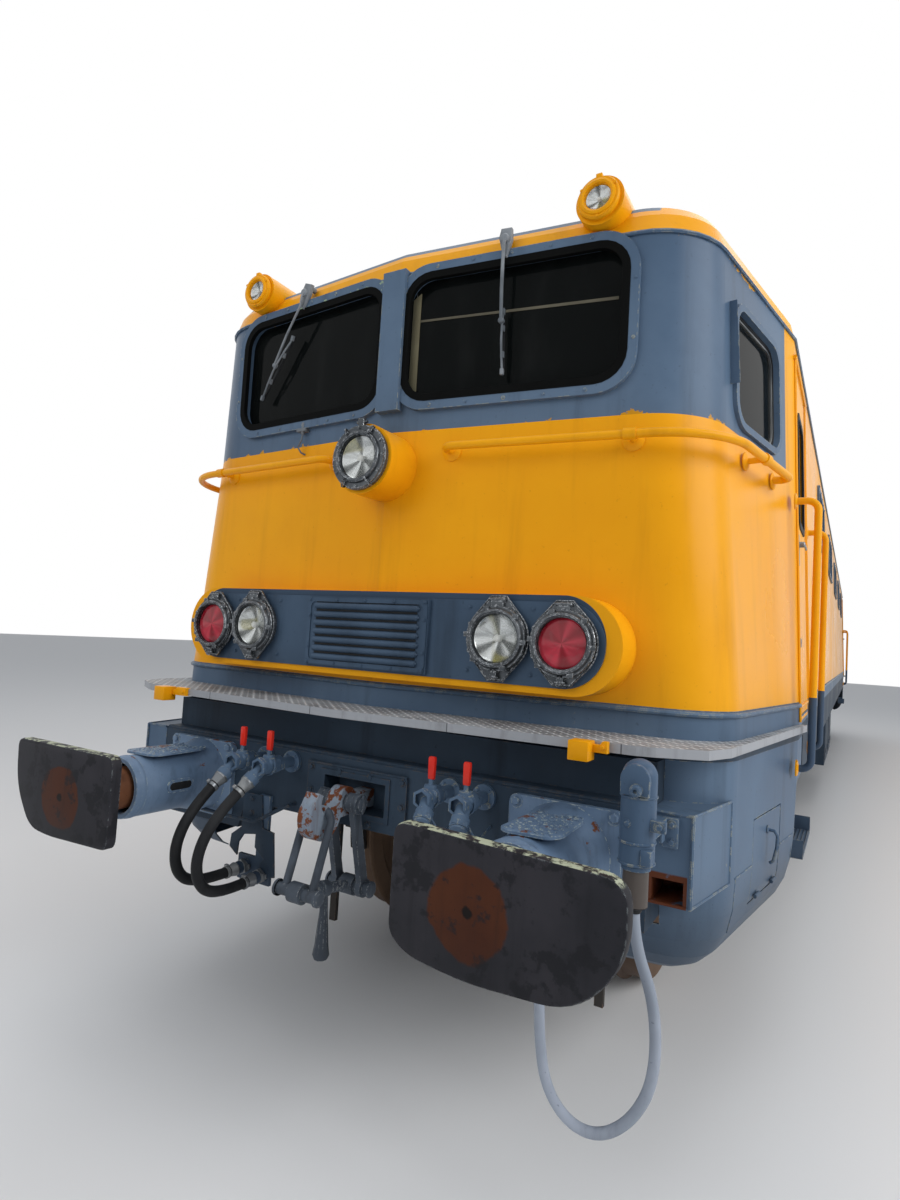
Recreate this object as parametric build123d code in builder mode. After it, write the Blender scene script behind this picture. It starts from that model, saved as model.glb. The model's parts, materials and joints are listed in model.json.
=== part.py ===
from build123d import *
import os
from math import sin, cos, tan, asin, acos, atan, atan2, radians, degrees, hypot, pi, sqrt

# Electric locomotive with a cab at each end and two three-axle bogies.
# Units are mm, +Z is up, the length runs along Y and the first end faces -Y.
# z = 0 is the foot of the wheel flanges.

os.makedirs("parts", exist_ok=True)

# Driving dimensions
HALF_LENGTH = 9476.0        # centre of the vehicle to a buffer's face
HALF_WIDTH = 1485.0         # body side at the sill
NOSE_Y = 8740.0             # ridge of the V-shaped nose
FACE_SLOPE = 0.10           # how fast each half of the nose falls back
TAPER_Y = 7500.0            # where the cab sides reach the full width
SPLIT_Y = 6850.0            # joint between cab and machine room
WALL = 60.0                 # lined wall of cab and machine room
BUFFER_X = 875.0
BUFFER_Z = 1078.0
BEAM_Y = 8800.0             # front face of the headstock beam

Z_SILL = 1210.0
Z_UNDER = 1400.0            # underside of the floor
Z_FLOOR = 1460.0
Z_PLINTH = 1570.0
Z_BELT = 2600.0
Z_CORNICE = 3280.0
Z_ROOF = 3415.0

BOGIE_Y = 4647.5
AXLE_PITCH = 2422.5
TREAD_R = 625.0
FLANGE_R = 653.0
AXLE_Z = FLANGE_R

# Body sections: height, half width, corner point x, corner radius, nose y
LEVELS = {
    "floor": (Z_FLOOR, 1488.0, 1333.0, 240.0, 8743.0),
    "plinth": (Z_PLINTH, 1485.0, 1330.0, 240.0, 8740.0),
    "belt": (Z_BELT, 1442.0, 1230.0, 300.0, 8740.0),
    "cornice": (Z_CORNICE, 1415.0, 1200.0, 300.0, 8740.0),
    "bend_1": (3345.0, 1398.0, 1183.0, 290.0, 8722.0),
    "bend_2": (3390.0, 1371.0, 1156.0, 280.0, 8694.0),
    "roof": (Z_ROOF, 1330.0, 1115.0, 265.0, 8652.0),
    "dome_1": (3475.0, 1150.0, 935.0, 230.0, 8470.0),
    "dome_2": (3560.0, 800.0, 585.0, 180.0, 8120.0),
    "dome_3": (3620.0, 400.0, 185.0, 100.0, 7740.0),
}


def plan_points(level, inset, taper_y=TAPER_Y):
    """Right half of a plan section: nose ridge, corner arc, taper end."""
    z, half, corner_x, radius, nose = level
    nose_i = nose - inset
    bx = corner_x - inset * 0.95
    a = (0.0, -nose_i)
    b = (bx, -nose_i + FACE_SLOPE * bx)
    c = (half - inset, -taper_y)
    r = max(radius - inset, 40.0)
    ul = hypot(a[0] - b[0], a[1] - b[1])
    u = ((a[0] - b[0]) / ul, (a[1] - b[1]) / ul)
    vl = hypot(c[0] - b[0], c[1] - b[1])
    v = ((c[0] - b[0]) / vl, (c[1] - b[1]) / vl)
    turn = acos(u[0] * v[0] + u[1] * v[1])
    t = r / tan(turn / 2)
    wl = hypot(u[0] + v[0], u[1] + v[1])
    w = ((u[0] + v[0]) / wl, (u[1] + v[1]) / wl)
    centre_d = r / sin(turn / 2)
    start = (b[0] + u[0] * t, b[1] + u[1] * t)
    mid = (b[0] + w[0] * (centre_d - r), b[1] + w[1] * (centre_d - r))
    end = (b[0] + v[0] * t, b[1] + v[1] * t)
    return a, start, mid, end, c


def plan_section(level, inset=0.0, y_back=-SPLIT_Y, z=None, taper_y=TAPER_Y):
    """Closed plan section of the front end, back to y_back."""
    a, s, m, e, c = plan_points(level, inset, taper_y)
    height = level[0] if z is None else z
    with BuildSketch(Plane.XY.offset(height)) as sk:
        with BuildLine():
            Polyline((-c[0], y_back), (-c[0], c[1]), (-e[0], e[1]))
            ThreePointArc((-e[0], e[1]), (-m[0], m[1]), (-s[0], s[1]))
            Polyline((-s[0], s[1]), a, s)
            ThreePointArc(s, m, e)
            Polyline(e, c, (c[0], y_back), (-c[0], y_back))
        make_face()
    return sk.sketch


def end_loft(names, inset=0.0, drop=0.0, y_back=-SPLIT_Y):
    """Ruled loft of the front end through the named levels."""
    with BuildPart() as bp:
        for n in names:
            add(plan_section(LEVELS[n], inset, y_back, LEVELS[n][0] - drop))
        loft(ruled=True)
    return bp.part


def turned(shape):
    """The same thing at the other end of the vehicle."""
    return Rot(0, 0, 180) * shape


def block(x0, x1, y0, y1, z0, z1):
    with BuildPart() as bp:
        with Locations(((x0 + x1) / 2, (y0 + y1) / 2, (z0 + z1) / 2)):
            Box(abs(x1 - x0), abs(y1 - y0), abs(z1 - z0))
    return bp.part


def rod(p, q, r):
    """Round bar between two points."""
    d = Vector(*q) - Vector(*p)
    with BuildPart() as bp:
        with BuildSketch(Plane(origin=p, z_dir=d)):
            Circle(r)
        extrude(amount=d.length)
    return bp.part


def tube(points, radii, r):
    """Round bar along straight runs with tangent bends."""
    with BuildPart() as bp:
        with BuildLine() as ln:
            FilletPolyline(*points, radius=radii)
        d = Vector(*points[1]) - Vector(*points[0])
        with BuildSketch(Plane(origin=points[0], z_dir=d)):
            Circle(r)
        sweep()
    return bp.part


A_FACE = atan(FACE_SLOPE)


def face_plane(side, out=0.0):
    """Plane on the right (+1) or left (-1) half of the nose; x runs outward."""
    s, c = sin(A_FACE), cos(A_FACE)
    n = Vector(side * s, -c, 0)
    o = Vector(0, -NOSE_Y, 0) + n * out
    # the sketch's x axis runs towards +X on both halves
    return Plane(origin=o, x_dir=Vector(c, side * s, 0), z_dir=n)


# Windows of the cab: name, low x or y, high x or y, low z, high z, corner radius
SCREEN = (60.0, 955.0, 2730.0, 3240.0, 105.0)
CAB_WINDOW = (-8330.0, -7760.0, 2625.0, 3130.0, 110.0)
DOOR = (-7470.0, -6850.0, 1500.0, 3150.0)
DOOR_WINDOW = (-7340.0, -6980.0, 2420.0, 2960.0)

# Cab shells
screen_cut = []
for side in (1, -1):
    x0, x1, z0, z1, r = SCREEN
    with BuildPart() as cut:
        with BuildSketch(face_plane(side, 80.0)):
            with Locations((side * (x0 + x1) / 2, (z0 + z1) / 2)):
                RectangleRounded(x1 - x0, z1 - z0, r)
        extrude(amount=-260)
    screen_cut.append(cut.part)
y0, y1, z0, z1, r = CAB_WINDOW
with BuildPart() as cut:
    with BuildSketch(Plane.YZ.offset(-1700)):
        with Locations(((y0 + y1) / 2, (z0 + z1) / 2)):
            RectangleRounded(y1 - y0, z1 - z0, r)
    extrude(amount=3400)
side_window_cut = cut.part
door_cut = block(-1700, 1700, DOOR[0] - 22, DOOR[1] + 50, DOOR[2], DOOR[3])

cab_outer_low = end_loft(("plinth", "belt"))
cab_inner_low = end_loft(("plinth", "belt"), WALL, 0, -SPLIT_Y + 200)
cab_outer_up = end_loft(("belt", "cornice"))
cab_inner_up = end_loft(("belt", "cornice"), WALL, 0, -SPLIT_Y + 200)

with BuildPart() as noses:
    one = cab_outer_low - cab_inner_low - door_cut
    add(one)
    add(turned(one))
noses.part.label = "noses"
export_step(noses.part, "parts/noses.step")

with BuildPart() as cabs:
    one = cab_outer_up - cab_inner_up - door_cut - side_window_cut
    for c in screen_cut:
        one = one - c
    add(one)
    add(turned(one))
cabs.part.label = "cabs"
export_step(cabs.part, "parts/cabs.step")

# Machine room walls: half section at each height
WALL_OUT = ((1485, Z_PLINTH), (1442, Z_BELT), (1415, Z_CORNICE))
VENT_Y = (-4700.0, -2350.0, 0.0, 2350.0, 4700.0)
VENT = (1000.0, 2700.0, 3060.0, 60.0)     # width, low z, high z, corner radius


def wall_strip(side):
    pts = list(WALL_OUT) + [(x - WALL, z) for x, z in reversed(WALL_OUT)]
    with BuildPart() as bp:
        with BuildSketch(Plane.XZ.offset(-SPLIT_Y)):
            with BuildLine():
                Polyline(*[(side * x, z) for x, z in pts], close=True)
            make_face()
        extrude(amount=2 * SPLIT_Y)
    return bp.part


with BuildPart() as vent_cut:
    for y in VENT_Y:
        with BuildSketch(Plane.YZ.offset(-1700)):
            with Locations((y, (VENT[1] + VENT[2]) / 2)):
                RectangleRounded(VENT[0], VENT[2] - VENT[1], VENT[3])
        extrude(amount=3400)
with BuildPart() as side_walls:
    for side in (1, -1):
        add(wall_strip(side) - vent_cut.part)
side_walls.part.label = "side_walls"
export_step(side_walls.part, "parts/side_walls.step")

# Roof edge band: one piece round each nose, one along each side
BAND = ("cornice", "bend_1", "bend_2", "roof")
JOINT = 0.5                 # half of the gap where two lengths of a band meet


def side_strip(rows, side):
    """Straight strip along the machine room through (outer x, z) rows."""
    pts = list(rows) + [(x - WALL, z) for x, z in reversed(rows)]
    with BuildPart() as bp:
        with BuildSketch(Plane.XZ.offset(-SPLIT_Y + JOINT)):
            with BuildLine():
                Polyline(*[(side * x, z) for x, z in pts], close=True)
            make_face()
        extrude(amount=2 * (SPLIT_Y - JOINT))
    return bp.part


nose_band = end_loft(BAND, 0, 0, -SPLIT_Y - JOINT) - end_loft(BAND, WALL, 0, -SPLIT_Y + 200)
with BuildPart() as cornice:
    add(nose_band)
    add(turned(nose_band))
    for side in (1, -1):
        add(side_strip([(LEVELS[n][1], LEVELS[n][0]) for n in BAND], side))
cornice.part.label = "cornice"
export_step(cornice.part, "parts/cornice.step")

# Roof skins
DOME = ("roof", "dome_1", "dome_2", "dome_3")
ROOF_SPLIT = 6400.0
ROOF_COVERS = ((-4250, -2950), (-2850, -1550), (-1250, 1250), (1550, 2850), (2950, 4250))
ROOF_COVER_Z = 3652.0       # top of the raised covers over the machine room


def dome(drop, y_back):
    with BuildPart() as bp:
        for n in DOME:
            add(plan_section(LEVELS[n], 0, y_back, LEVELS[n][0] - drop))
        loft(ruled=True)
    return bp.part


one = dome(0, -ROOF_SPLIT - JOINT) - dome(45, -ROOF_SPLIT + 50)
top = [(LEVELS[n][1], LEVELS[n][0]) for n in DOME]
under = [(1195, Z_ROOF)] + [(x, z - 45) for x, z in top[1:]]
arch = (top + [(-x, z) for x, z in reversed(top)] +
        [(-x, z) for x, z in under] + [(x, z) for x, z in reversed(under)])
with BuildPart() as roof:
    add(one)
    add(turned(one))
    with BuildSketch(Plane.XZ.offset(-ROOF_SPLIT + JOINT)):
        with BuildLine():
            Polyline(*arch, close=True)
        make_face()
    extrude(amount=2 * (ROOF_SPLIT - JOINT))
    for y0, y1 in ROOF_COVERS:
        add(block(-380, 380, y0, y1, 3600, ROOF_COVER_Z))
roof.part.label = "roof"
export_step(roof.part, "parts/roof.step")

# Glass: windscreens, cab side windows, machine-room windows
with BuildPart() as glass:
    for side in (1, -1):
        x0, x1, z0, z1, r = SCREEN
        with BuildSketch(face_plane(side, -22.0)):
            with Locations((side * (x0 + x1) / 2, (z0 + z1) / 2)):
                RectangleRounded(x1 - x0 - 1, z1 - z0 - 1, r)
        extrude(amount=-8)
    add(turned(glass.part))
    for side in (1, -1):
        for y in VENT_Y:
            with BuildSketch(Plane(origin=(side * 1442, y, Z_BELT), x_dir=(0, side, 0),
                                   z_dir=(side * (Z_CORNICE - Z_BELT), 0, 27))):
                with Locations((0, (VENT[1] + VENT[2]) / 2 - Z_BELT)):
                    RectangleRounded(VENT[0] - 61, VENT[2] - VENT[1] - 61, VENT[3] - 26)
            extrude(amount=-6)
glass.part.label = "glass"
export_step(glass.part, "parts/glass.step")

# Floor slab over the whole length
with BuildPart() as floor_half:
    add(plan_section(LEVELS["floor"], 0, 0.0, Z_UNDER))
    extrude(amount=Z_FLOOR - Z_UNDER, dir=(0, 0, 1))
with BuildPart() as floor_plate:
    add(floor_half.part)
    add(turned(floor_half.part))
floor_plate.part.label = "floor_plate"
export_step(floor_plate.part, "parts/floor_plate.step")

# Plinth round the foot of the walls
nose_plinth = (end_loft(("floor", "plinth"), 0, 0, -SPLIT_Y - JOINT)
               - end_loft(("floor", "plinth"), WALL, 0, -SPLIT_Y + 200)
               - block(-1700, 1700, DOOR[0] - 22, DOOR[1] + 50, DOOR[2], 1600))
with BuildPart() as plinths:
    add(nose_plinth)
    add(turned(nose_plinth))
    for side in (1, -1):
        add(side_strip([(LEVELS[n][1], LEVELS[n][0]) for n in ("floor", "plinth")], side))
plinths.part.label = "plinths"
export_step(plinths.part, "parts/plinths.step")

# Headstock section (y, z): beam with a bevelled top edge and the recessed wall above it
HEADSTOCK = ((-BEAM_Y, 880), (-BEAM_Y, 1255), (-8785, 1270), (-8720, 1270), (-8720, Z_UNDER),
             (-8600, Z_UNDER), (-8600, 880))
# The beam is shallower between the buffers: front outline of the cut below it (x, z)
BEAM_ARCH = ((-640, 860), (-600, 1000), (600, 1000), (640, 860))
BEAM_HALF = 1150.0
HOOK_SLOT = (150.0, 1060.0, 1184.0)      # half width, low z, high z

with BuildPart() as headstock:
    with BuildSketch(Plane.YZ.offset(-BEAM_HALF)):
        with BuildLine():
            Polyline(*HEADSTOCK, close=True)
        make_face()
    extrude(amount=2 * BEAM_HALF)
    with BuildSketch(Plane.XZ.offset(8900)):
        with BuildLine():
            Polyline(*BEAM_ARCH, close=True)
        make_face()
    extrude(amount=-400, mode=Mode.SUBTRACT)
    add(block(-245, 245, -BEAM_Y - 12, -BEAM_Y, 1000, 1222))
    add(block(-HOOK_SLOT[0], HOOK_SLOT[0], -8900, -8720, HOOK_SLOT[1], HOOK_SLOT[2]), mode=Mode.SUBTRACT)

# Underframe: side sills, centre beam, cross members and headstocks
with BuildPart() as underframe:
    for side in (1, -1):
        add(block(side * 1445, side * 1485, -7150, 7150, Z_SILL, Z_UNDER))
    add(block(-250, 250, -8600, 8600, 1200, Z_UNDER))
    for y in (-BOGIE_Y - 1211, -BOGIE_Y + 1211, -1500, 1500, BOGIE_Y - 1211, BOGIE_Y + 1211):
        add(block(-1450, 1450, y - 80, y + 80, 1200, Z_UNDER))
    for end in (1, -1):
        add(block(-1000, 1000, end * -8200, end * -8600, 1000, Z_UNDER))
    add(headstock.part)
    add(turned(headstock.part))
underframe.part.label = "underframe"
export_step(underframe.part, "parts/underframe.step")

# Cab fittings: rear bulkhead and driver's desk
DESK = ((-8480, Z_FLOOR), (-8480, 2390), (-8300, 2370), (-8140, 2250), (-8140, 2190), (-8240, 2150),
        (-8240, Z_FLOOR))
with BuildPart() as fittings_end:
    add(block(-1300, 1300, -6790, -6750, Z_FLOOR, 3200))
    with BuildSketch(Plane.YZ.offset(-850)):
        with BuildLine():
            Polyline(*DESK, close=True)
        make_face()
    extrude(amount=1700)
with BuildPart() as cab_fittings:
    add(fittings_end.part)
    add(turned(fittings_end.part))
cab_fittings.part.label = "cab_fittings"
export_step(cab_fittings.part, "parts/cab_fittings.step")


# Crew doors, opening inward about an upright axis at their rear edge
DOOR_LEAF = 40.0
HINGE_X = 1375.0


def side_x(z):
    """Half width of the straight body side at a height."""
    pts = ((Z_PLINTH, 1485.0), (Z_BELT, 1442.0), (Z_CORNICE, 1415.0))
    if z >= Z_BELT:
        (za, xa), (zb, xb) = pts[1], pts[2]
    else:
        (za, xa), (zb, xb) = pts[0], pts[1]
    return xa + (xb - xa) * (z - za) / (zb - za)


zs = (DOOR[2] + 6, Z_BELT, DOOR[3] - 6)
leaf_pts = [(side_x(z), z) for z in zs] + [(side_x(z) - DOOR_LEAF, z) for z in reversed(zs)]
with BuildPart() as leaf:
    with BuildSketch(Plane.XZ.offset(-(DOOR[1] - 8))):
        with BuildLine():
            Polyline(*leaf_pts, close=True)
        make_face()
    extrude(amount=DOOR[1] - 8 - DOOR[0])
    with BuildSketch(Plane.YZ.offset(1300)):
        with Locations(((DOOR_WINDOW[0] + DOOR_WINDOW[1]) / 2, (DOOR_WINDOW[2] + DOOR_WINDOW[3]) / 2)):
            RectangleRounded(DOOR_WINDOW[1] - DOOR_WINDOW[0], DOOR_WINDOW[3] - DOOR_WINDOW[2], 60)
    extrude(amount=300, mode=Mode.SUBTRACT)
right_leaf = leaf.part
left_leaf = mirror(right_leaf, Plane.YZ)
DOORS = {
    "door_front_right": right_leaf,
    "door_front_left": left_leaf,
    "door_rear_left": turned(right_leaf),
    "door_rear_right": turned(left_leaf),
}
for name, shape in DOORS.items():
    with BuildPart() as door:
        add(shape)
    door.part.label = name
    export_step(door.part, f"parts/{name}.step")

# Window frames: windscreens with their pillar, cab side windows, machine-room vents
with BuildPart() as frames_end:
    for side in (1, -1):
        x0, x1, z0, z1, r = SCREEN
        with BuildSketch(face_plane(side)):
            with Locations((side * (x0 + x1) / 2, (z0 + z1) / 2)):
                RectangleRounded(x1 - x0 + 100, z1 - z0 + 100, r + 45)
                RectangleRounded(x1 - x0, z1 - z0, r, mode=Mode.SUBTRACT)
        extrude(amount=22)
    add(block(-56, 56, -8772, -8700, 2685, 3280) - end_loft(("belt", "cornice")))
y0, y1, z0, z1, r = CAB_WINDOW
with BuildPart() as ring:
    for sx in (1, -1):
        with BuildSketch(Plane.YZ.offset(sx * 1150)):
            with Locations(((y0 + y1) / 2, (z0 + z1) / 2)):
                RectangleRounded(y1 - y0 - 2, z1 - z0 - 2, r)
                RectangleRounded(y1 - y0 - 60, z1 - z0 - 60, r - 29, mode=Mode.SUBTRACT)
        extrude(amount=sx * 450)
side_ring = end_loft(("belt", "cornice"), -14, 0) - end_loft(("belt", "cornice"), 30, 0, -SPLIT_Y + 200)
side_ring = side_ring & ring.part
n_up = Vector(Z_CORNICE - Z_BELT, 0, 27).normalized()
W, VZ0, VZ1, VR = VENT
with BuildPart() as vents:
    for y in VENT_Y:
        with BuildSketch(Plane(origin=(1442, y, 2600), x_dir=(0, 1, 0), z_dir=n_up)):
            with Locations((0, (VZ0 + VZ1) / 2 - 2600)):
                RectangleRounded(W + 70, VZ1 - VZ0 + 70, VR + 30)
                RectangleRounded(W - 10, VZ1 - VZ0 - 10, VR - 5, mode=Mode.SUBTRACT)
        extrude(amount=16)
        with BuildSketch(Plane(origin=(1442, y, 2600), x_dir=(0, 1, 0), z_dir=n_up)):
            with Locations((0, (VZ0 + VZ1) / 2 - 2600)):
                RectangleRounded(W - 4, VZ1 - VZ0 - 4, VR - 3)
                RectangleRounded(W - 60, VZ1 - VZ0 - 60, VR - 25, mode=Mode.SUBTRACT)
        extrude(amount=-40)
with BuildPart() as window_frames:
    add(frames_end.part)
    add(turned(frames_end.part))
    add(side_ring)
    add(turned(side_ring))
    add(vents.part)
    add(turned(vents.part))
window_frames.part.label = "window_frames"
export_step(window_frames.part, "parts/window_frames.step")

# Step platforms round each nose
PLATFORM = ((0, -8985), (1130, -8915), (1185, -8895), (1325, -8815), (1372, -8690), (1520, -7500))
with BuildPart() as platforms:
    with BuildSketch(Plane.XY.offset(1440)):
        with BuildLine():
            right = list(PLATFORM)
            Polyline(*(right + [(1300, -7500), (-1300, -7500)] +
                       [(-x, y) for x, y in reversed(right[1:])]), close=True)
        make_face()
    extrude(amount=30)
    with BuildPart(mode=Mode.SUBTRACT):
        add(plan_section(LEVELS["floor"], -0.5, -SPLIT_Y, 1400.0))
        extrude(amount=70, dir=(0, 0, 1))
    add(turned(platforms.part))
platforms.part.label = "platforms"
export_step(platforms.part, "parts/platforms.step")

# Lamp band on the nose, its dark panel with louvres, and the lamps
BAND_Z = 1762.0


def stadium(y, width, height, depth):
    """Rounded bar across the nose, from y back by depth."""
    with BuildPart() as bp:
        with BuildSketch(Plane.XZ.offset(-y)):
            with Locations((0, BAND_Z)):
                RectangleRounded(width, height, height / 2 - 1)
        extrude(amount=-depth)
    return bp.part


nose_solid = end_loft(("plinth", "belt"))
roof_solid = end_loft(("cornice", "bend_1", "bend_2", "roof"))
ROOF_LAMP = (854.0, -8722.0, 3392.0)
with BuildPart() as yellow_end:
    add(stadium(-8800, 2084, 344, 300) - nose_solid)
    with BuildSketch(Plane.XZ.offset(8905)):
        with Locations((0, 2450)):
            Circle(140)
    extrude(amount=-300)
    add(nose_solid, mode=Mode.SUBTRACT)
with BuildPart() as roof_lamp:
    for side in (1, -1):
        with BuildSketch(Plane.XZ.offset(8705)):
            with Locations((side * ROOF_LAMP[0], ROOF_LAMP[2])):
                Circle(91)
        extrude(amount=-330)
    add(roof_solid, mode=Mode.SUBTRACT)
    add(end_loft(DOME), mode=Mode.SUBTRACT)
    add(end_loft(("belt", "cornice")), mode=Mode.SUBTRACT)
    for side in (1, -1):
        with BuildSketch(Plane.XZ.offset(8730)):
            with Locations((side * ROOF_LAMP[0], ROOF_LAMP[2])):
                Circle(75)
                Circle(48, mode=Mode.SUBTRACT)
        extrude(amount=-25)
with BuildPart() as lamp_housings:
    add(yellow_end.part)
    add(turned(yellow_end.part))
    add(roof_lamp.part)
    add(turned(roof_lamp.part))
lamp_housings.part.label = "lamp_housings"
export_step(lamp_housings.part, "parts/lamp_housings.step")

with BuildPart() as panel:
    add(stadium(-8808, 1972, 296, 8))
    add(block(-300, 300, -8822, -8808, 1622, 1906))
    for i in range(7):
        with BuildSketch(Plane.YZ.offset(-255)):
            with Locations((-8822, 1658 + i * 35)):
                Circle(12)
        extrude(amount=510)
with BuildPart() as lamp_panels:
    add(panel.part)
    add(turned(panel.part))
lamp_panels.part.label = "lamp_panels"
export_step(lamp_panels.part, "parts/lamp_panels.step")

# Lamps: x, front of the ring y, z, ring radius, lens radius, depth to the mounting face
CLEAR = ((598, -8850, 1773, 115, 88, 42), (-598, -8850, 1773, 115, 88, 42),
         (0, -8935, 2450, 125, 85, 30),
         (854, -8730, 3392, 75, 48, 25), (-854, -8730, 3392, 75, 48, 25))
RED = ((847, -8850, 1768, 115, 88, 42), (-847, -8850, 1768, 115, 88, 42))
with BuildPart() as rings_end:
    for x, y, z, ro, ri, d in CLEAR[:3] + RED:
        with BuildSketch(Plane.XZ.offset(-y)):
            with Locations((x, z)):
                Circle(ro)
                Circle(ri, mode=Mode.SUBTRACT)
        extrude(amount=-d)
with BuildPart() as lamp_rings:
    add(rings_end.part)
    add(turned(rings_end.part))
lamp_rings.part.label = "lamp_rings"
export_step(lamp_rings.part, "parts/lamp_rings.step")
for name, rows in (("lenses_clear", CLEAR), ("lenses_red", RED)):
    with BuildPart() as one_end:
        for x, y, z, ro, ri, d in rows:
            with BuildSketch(Plane.XZ.offset(-y - 8)):
                with Locations((x, z)):
                    Circle(ri - 0.5)
            extrude(amount=-(d - 9))
    with BuildPart() as lenses:
        add(one_end.part)
        add(turned(one_end.part))
    lenses.part.label = name
    export_step(lenses.part, f"parts/{name}.step")

# Handrails: one round each corner of the nose and uprights beside the crew doors
RAIL_R = 16.0
RAIL_Z = 2505.0
belt = (RAIL_Z, side_x(RAIL_Z), 1238.0, 300.0, 8740.0)


def face_y(x):
    return -NOSE_Y + FACE_SLOPE * abs(x)


off = 80.0
ro_half = belt[1] + off
rail_b = (belt[2] + off * 0.95, -(belt[4] + off) + FACE_SLOPE * (belt[2] + off * 0.95))
y_end = -7900.0
frac = (y_end + TAPER_Y) / (rail_b[1] + TAPER_Y)
x_out = ro_half + (rail_b[0] - ro_half) * frac
nose_rail_pieces = []
upright_pieces = []
for side in (1, -1):
    pts = [(side * 295, face_y(295) - 3, RAIL_Z), (side * 295, face_y(295) - off, RAIL_Z),
           (side * rail_b[0], rail_b[1], RAIL_Z), (side * x_out, y_end, RAIL_Z),
           (side * (x_out - off + 9), y_end, RAIL_Z)]
    nose_rail_pieces.append(tube(pts, [40, 330, 40], RAIL_R))
    for y in (-7620.0, -6735.0):
        pts = [(side * (side_x(2454) + 0.5), y, 2470), (side * 1545, y, 2470),
               (side * 1545, y, 1290), (side * 1486, y, 1290)]
        upright_pieces.append(tube(pts, [45, 40], RAIL_R))
with BuildPart() as nose_rails:
    for one in nose_rail_pieces:
        add(one)
        add(turned(one))
nose_rails.part.label = "nose_rails"
export_step(nose_rails.part, "parts/nose_rails.step")
with BuildPart() as upright_rails:
    for one in upright_pieces:
        add(one)
        add(turned(one))
upright_rails.part.label = "upright_rails"
export_step(upright_rails.part, "parts/upright_rails.step")

# Aprons on the corners below the platform, with the step boxes and hatch openings
APRON_ROWS = ((1399.5, 0.0), (990.0, 0.0), (880.0, 6.0), (800.0, 22.0), (735.0, 52.0), (690.0, 95.0),
              (665.0, 140.0))
APRON_T = 10.0
HATCH = (-8190.0, -7780.0, 842.0, 1158.0)


def apron_loft(extra, lift):
    with BuildPart() as bp:
        for z, inset in APRON_ROWS:
            level = (z, 1484.0, 1329.0, 240.0, 8739.0)
            add(plan_section(level, inset + extra, -6900.0, z + lift))
        loft(ruled=True)
    return bp.part


apron_full = apron_loft(0, 0) - apron_loft(APRON_T, 0)
with BuildPart() as rear_cut:
    with BuildSketch(Plane.YZ.offset(-1700)):
        with BuildLine():
            Polyline((-7190, 1450), (-7200, 1400), (-7200, 1212), (-7440, 1212))
            ThreePointArc((-7440, 1212), (-7487, 1194), (-7505, 1150))
            Polyline((-7505, 1150), (-7525, 960), (-7600, 720), (-7620, 600), (-6800, 600), (-6800, 1450),
                     (-7190, 1450))
        make_face()
    extrude(amount=3400)
BEAM_GAP = BEAM_HALF + 2.0
centre_cut = (block(-BEAM_GAP, BEAM_GAP, -9000, -8300, 850, 1450)
              + block(-1000, 1000, -9000, -6800, 600, 1450))
hatch_cut = [block(s * 1250, s * 1500, HATCH[0], HATCH[1], HATCH[2], HATCH[3]) for s in (1, -1)]
with BuildPart() as apron_end:
    add(apron_full)
    add(rear_cut.part, mode=Mode.SUBTRACT)
    add(centre_cut, mode=Mode.SUBTRACT)
    for c in hatch_cut:
        add(c, mode=Mode.SUBTRACT)
outline_prism = apron_loft(0, 0)
with BuildPart() as step_box:
    for side in (1, -1):
        with BuildSketch(Plane.XY.offset(982)):
            with BuildLine():
                Polyline((side * BEAM_GAP, -BEAM_Y), (side * 1285, -BEAM_Y), (side * 1348, -8440),
                         (side * BEAM_GAP, -8440), close=True)
            make_face()
        extrude(amount=280)
        add(block(side * 1166, side * 1262, -8810, -8560, 988, 1058), mode=Mode.SUBTRACT)
step_boxes = step_box.part - outline_prism
# Crew steps below the cab doors: tread, back plate and ends, held by the rear edge of the apron
with BuildPart() as crew_step:
    for side in (1, -1):
        add(block(side * 1400, side * 1515, -7430, -6850, 855, 870))
        add(block(side * 1400, side * 1410, -7430, -6850, 855, 965))
        add(block(side * 1400, side * 1515, -6860, -6850, 855, 940))
        add(block(side * 1400, side * 1515, -7430, -7420, 855, 940))
        add(block(side * 1405, side * 1417, -7560, -7420, 885, 960))
        add(block(side * 1405, side * 1473, -7560, -7550, 885, 960))
with BuildPart() as aprons:
    for one in (apron_end.part, step_boxes, crew_step.part):
        add(one)
        add(turned(one))
aprons.part.label = "aprons"
export_step(aprons.part, "parts/aprons.step")

# Hatches in the aprons, hinged at the lower edge
lid_full = apron_loft(1, 0) - apron_loft(7, 0)
lids = {}
for side in (1, -1):
    lid = lid_full & block(side * 1250, side * 1500, HATCH[0] + 6, HATCH[1] - 6, HATCH[2] + 6, HATCH[3] - 6)
    lids[side] = lid
HATCHES = {
    "hatch_front_right": lids[1],
    "hatch_front_left": lids[-1],
    "hatch_rear_left": turned(lids[1]),
    "hatch_rear_right": turned(lids[-1]),
}
for name, shape in HATCHES.items():
    with BuildPart() as hatch:
        add(shape)
    hatch.part.label = name
    export_step(hatch.part, f"parts/{name}.step")

# Buffers: casings on the beam, heads with their plungers
# Casing profile about the buffer's axis: radius, distance from the vehicle's centre
CASING = ((165, 8824), (122, 9040), (115, 9195), (115, 9205), (128, 9205), (128, 9236), (92, 9236),
          (92, 9100), (0, 9100), (0, 8824))
STEP_PLATE = ((120, 8930), (150, 8990), (150, 9110), (120, 9170))


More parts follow.
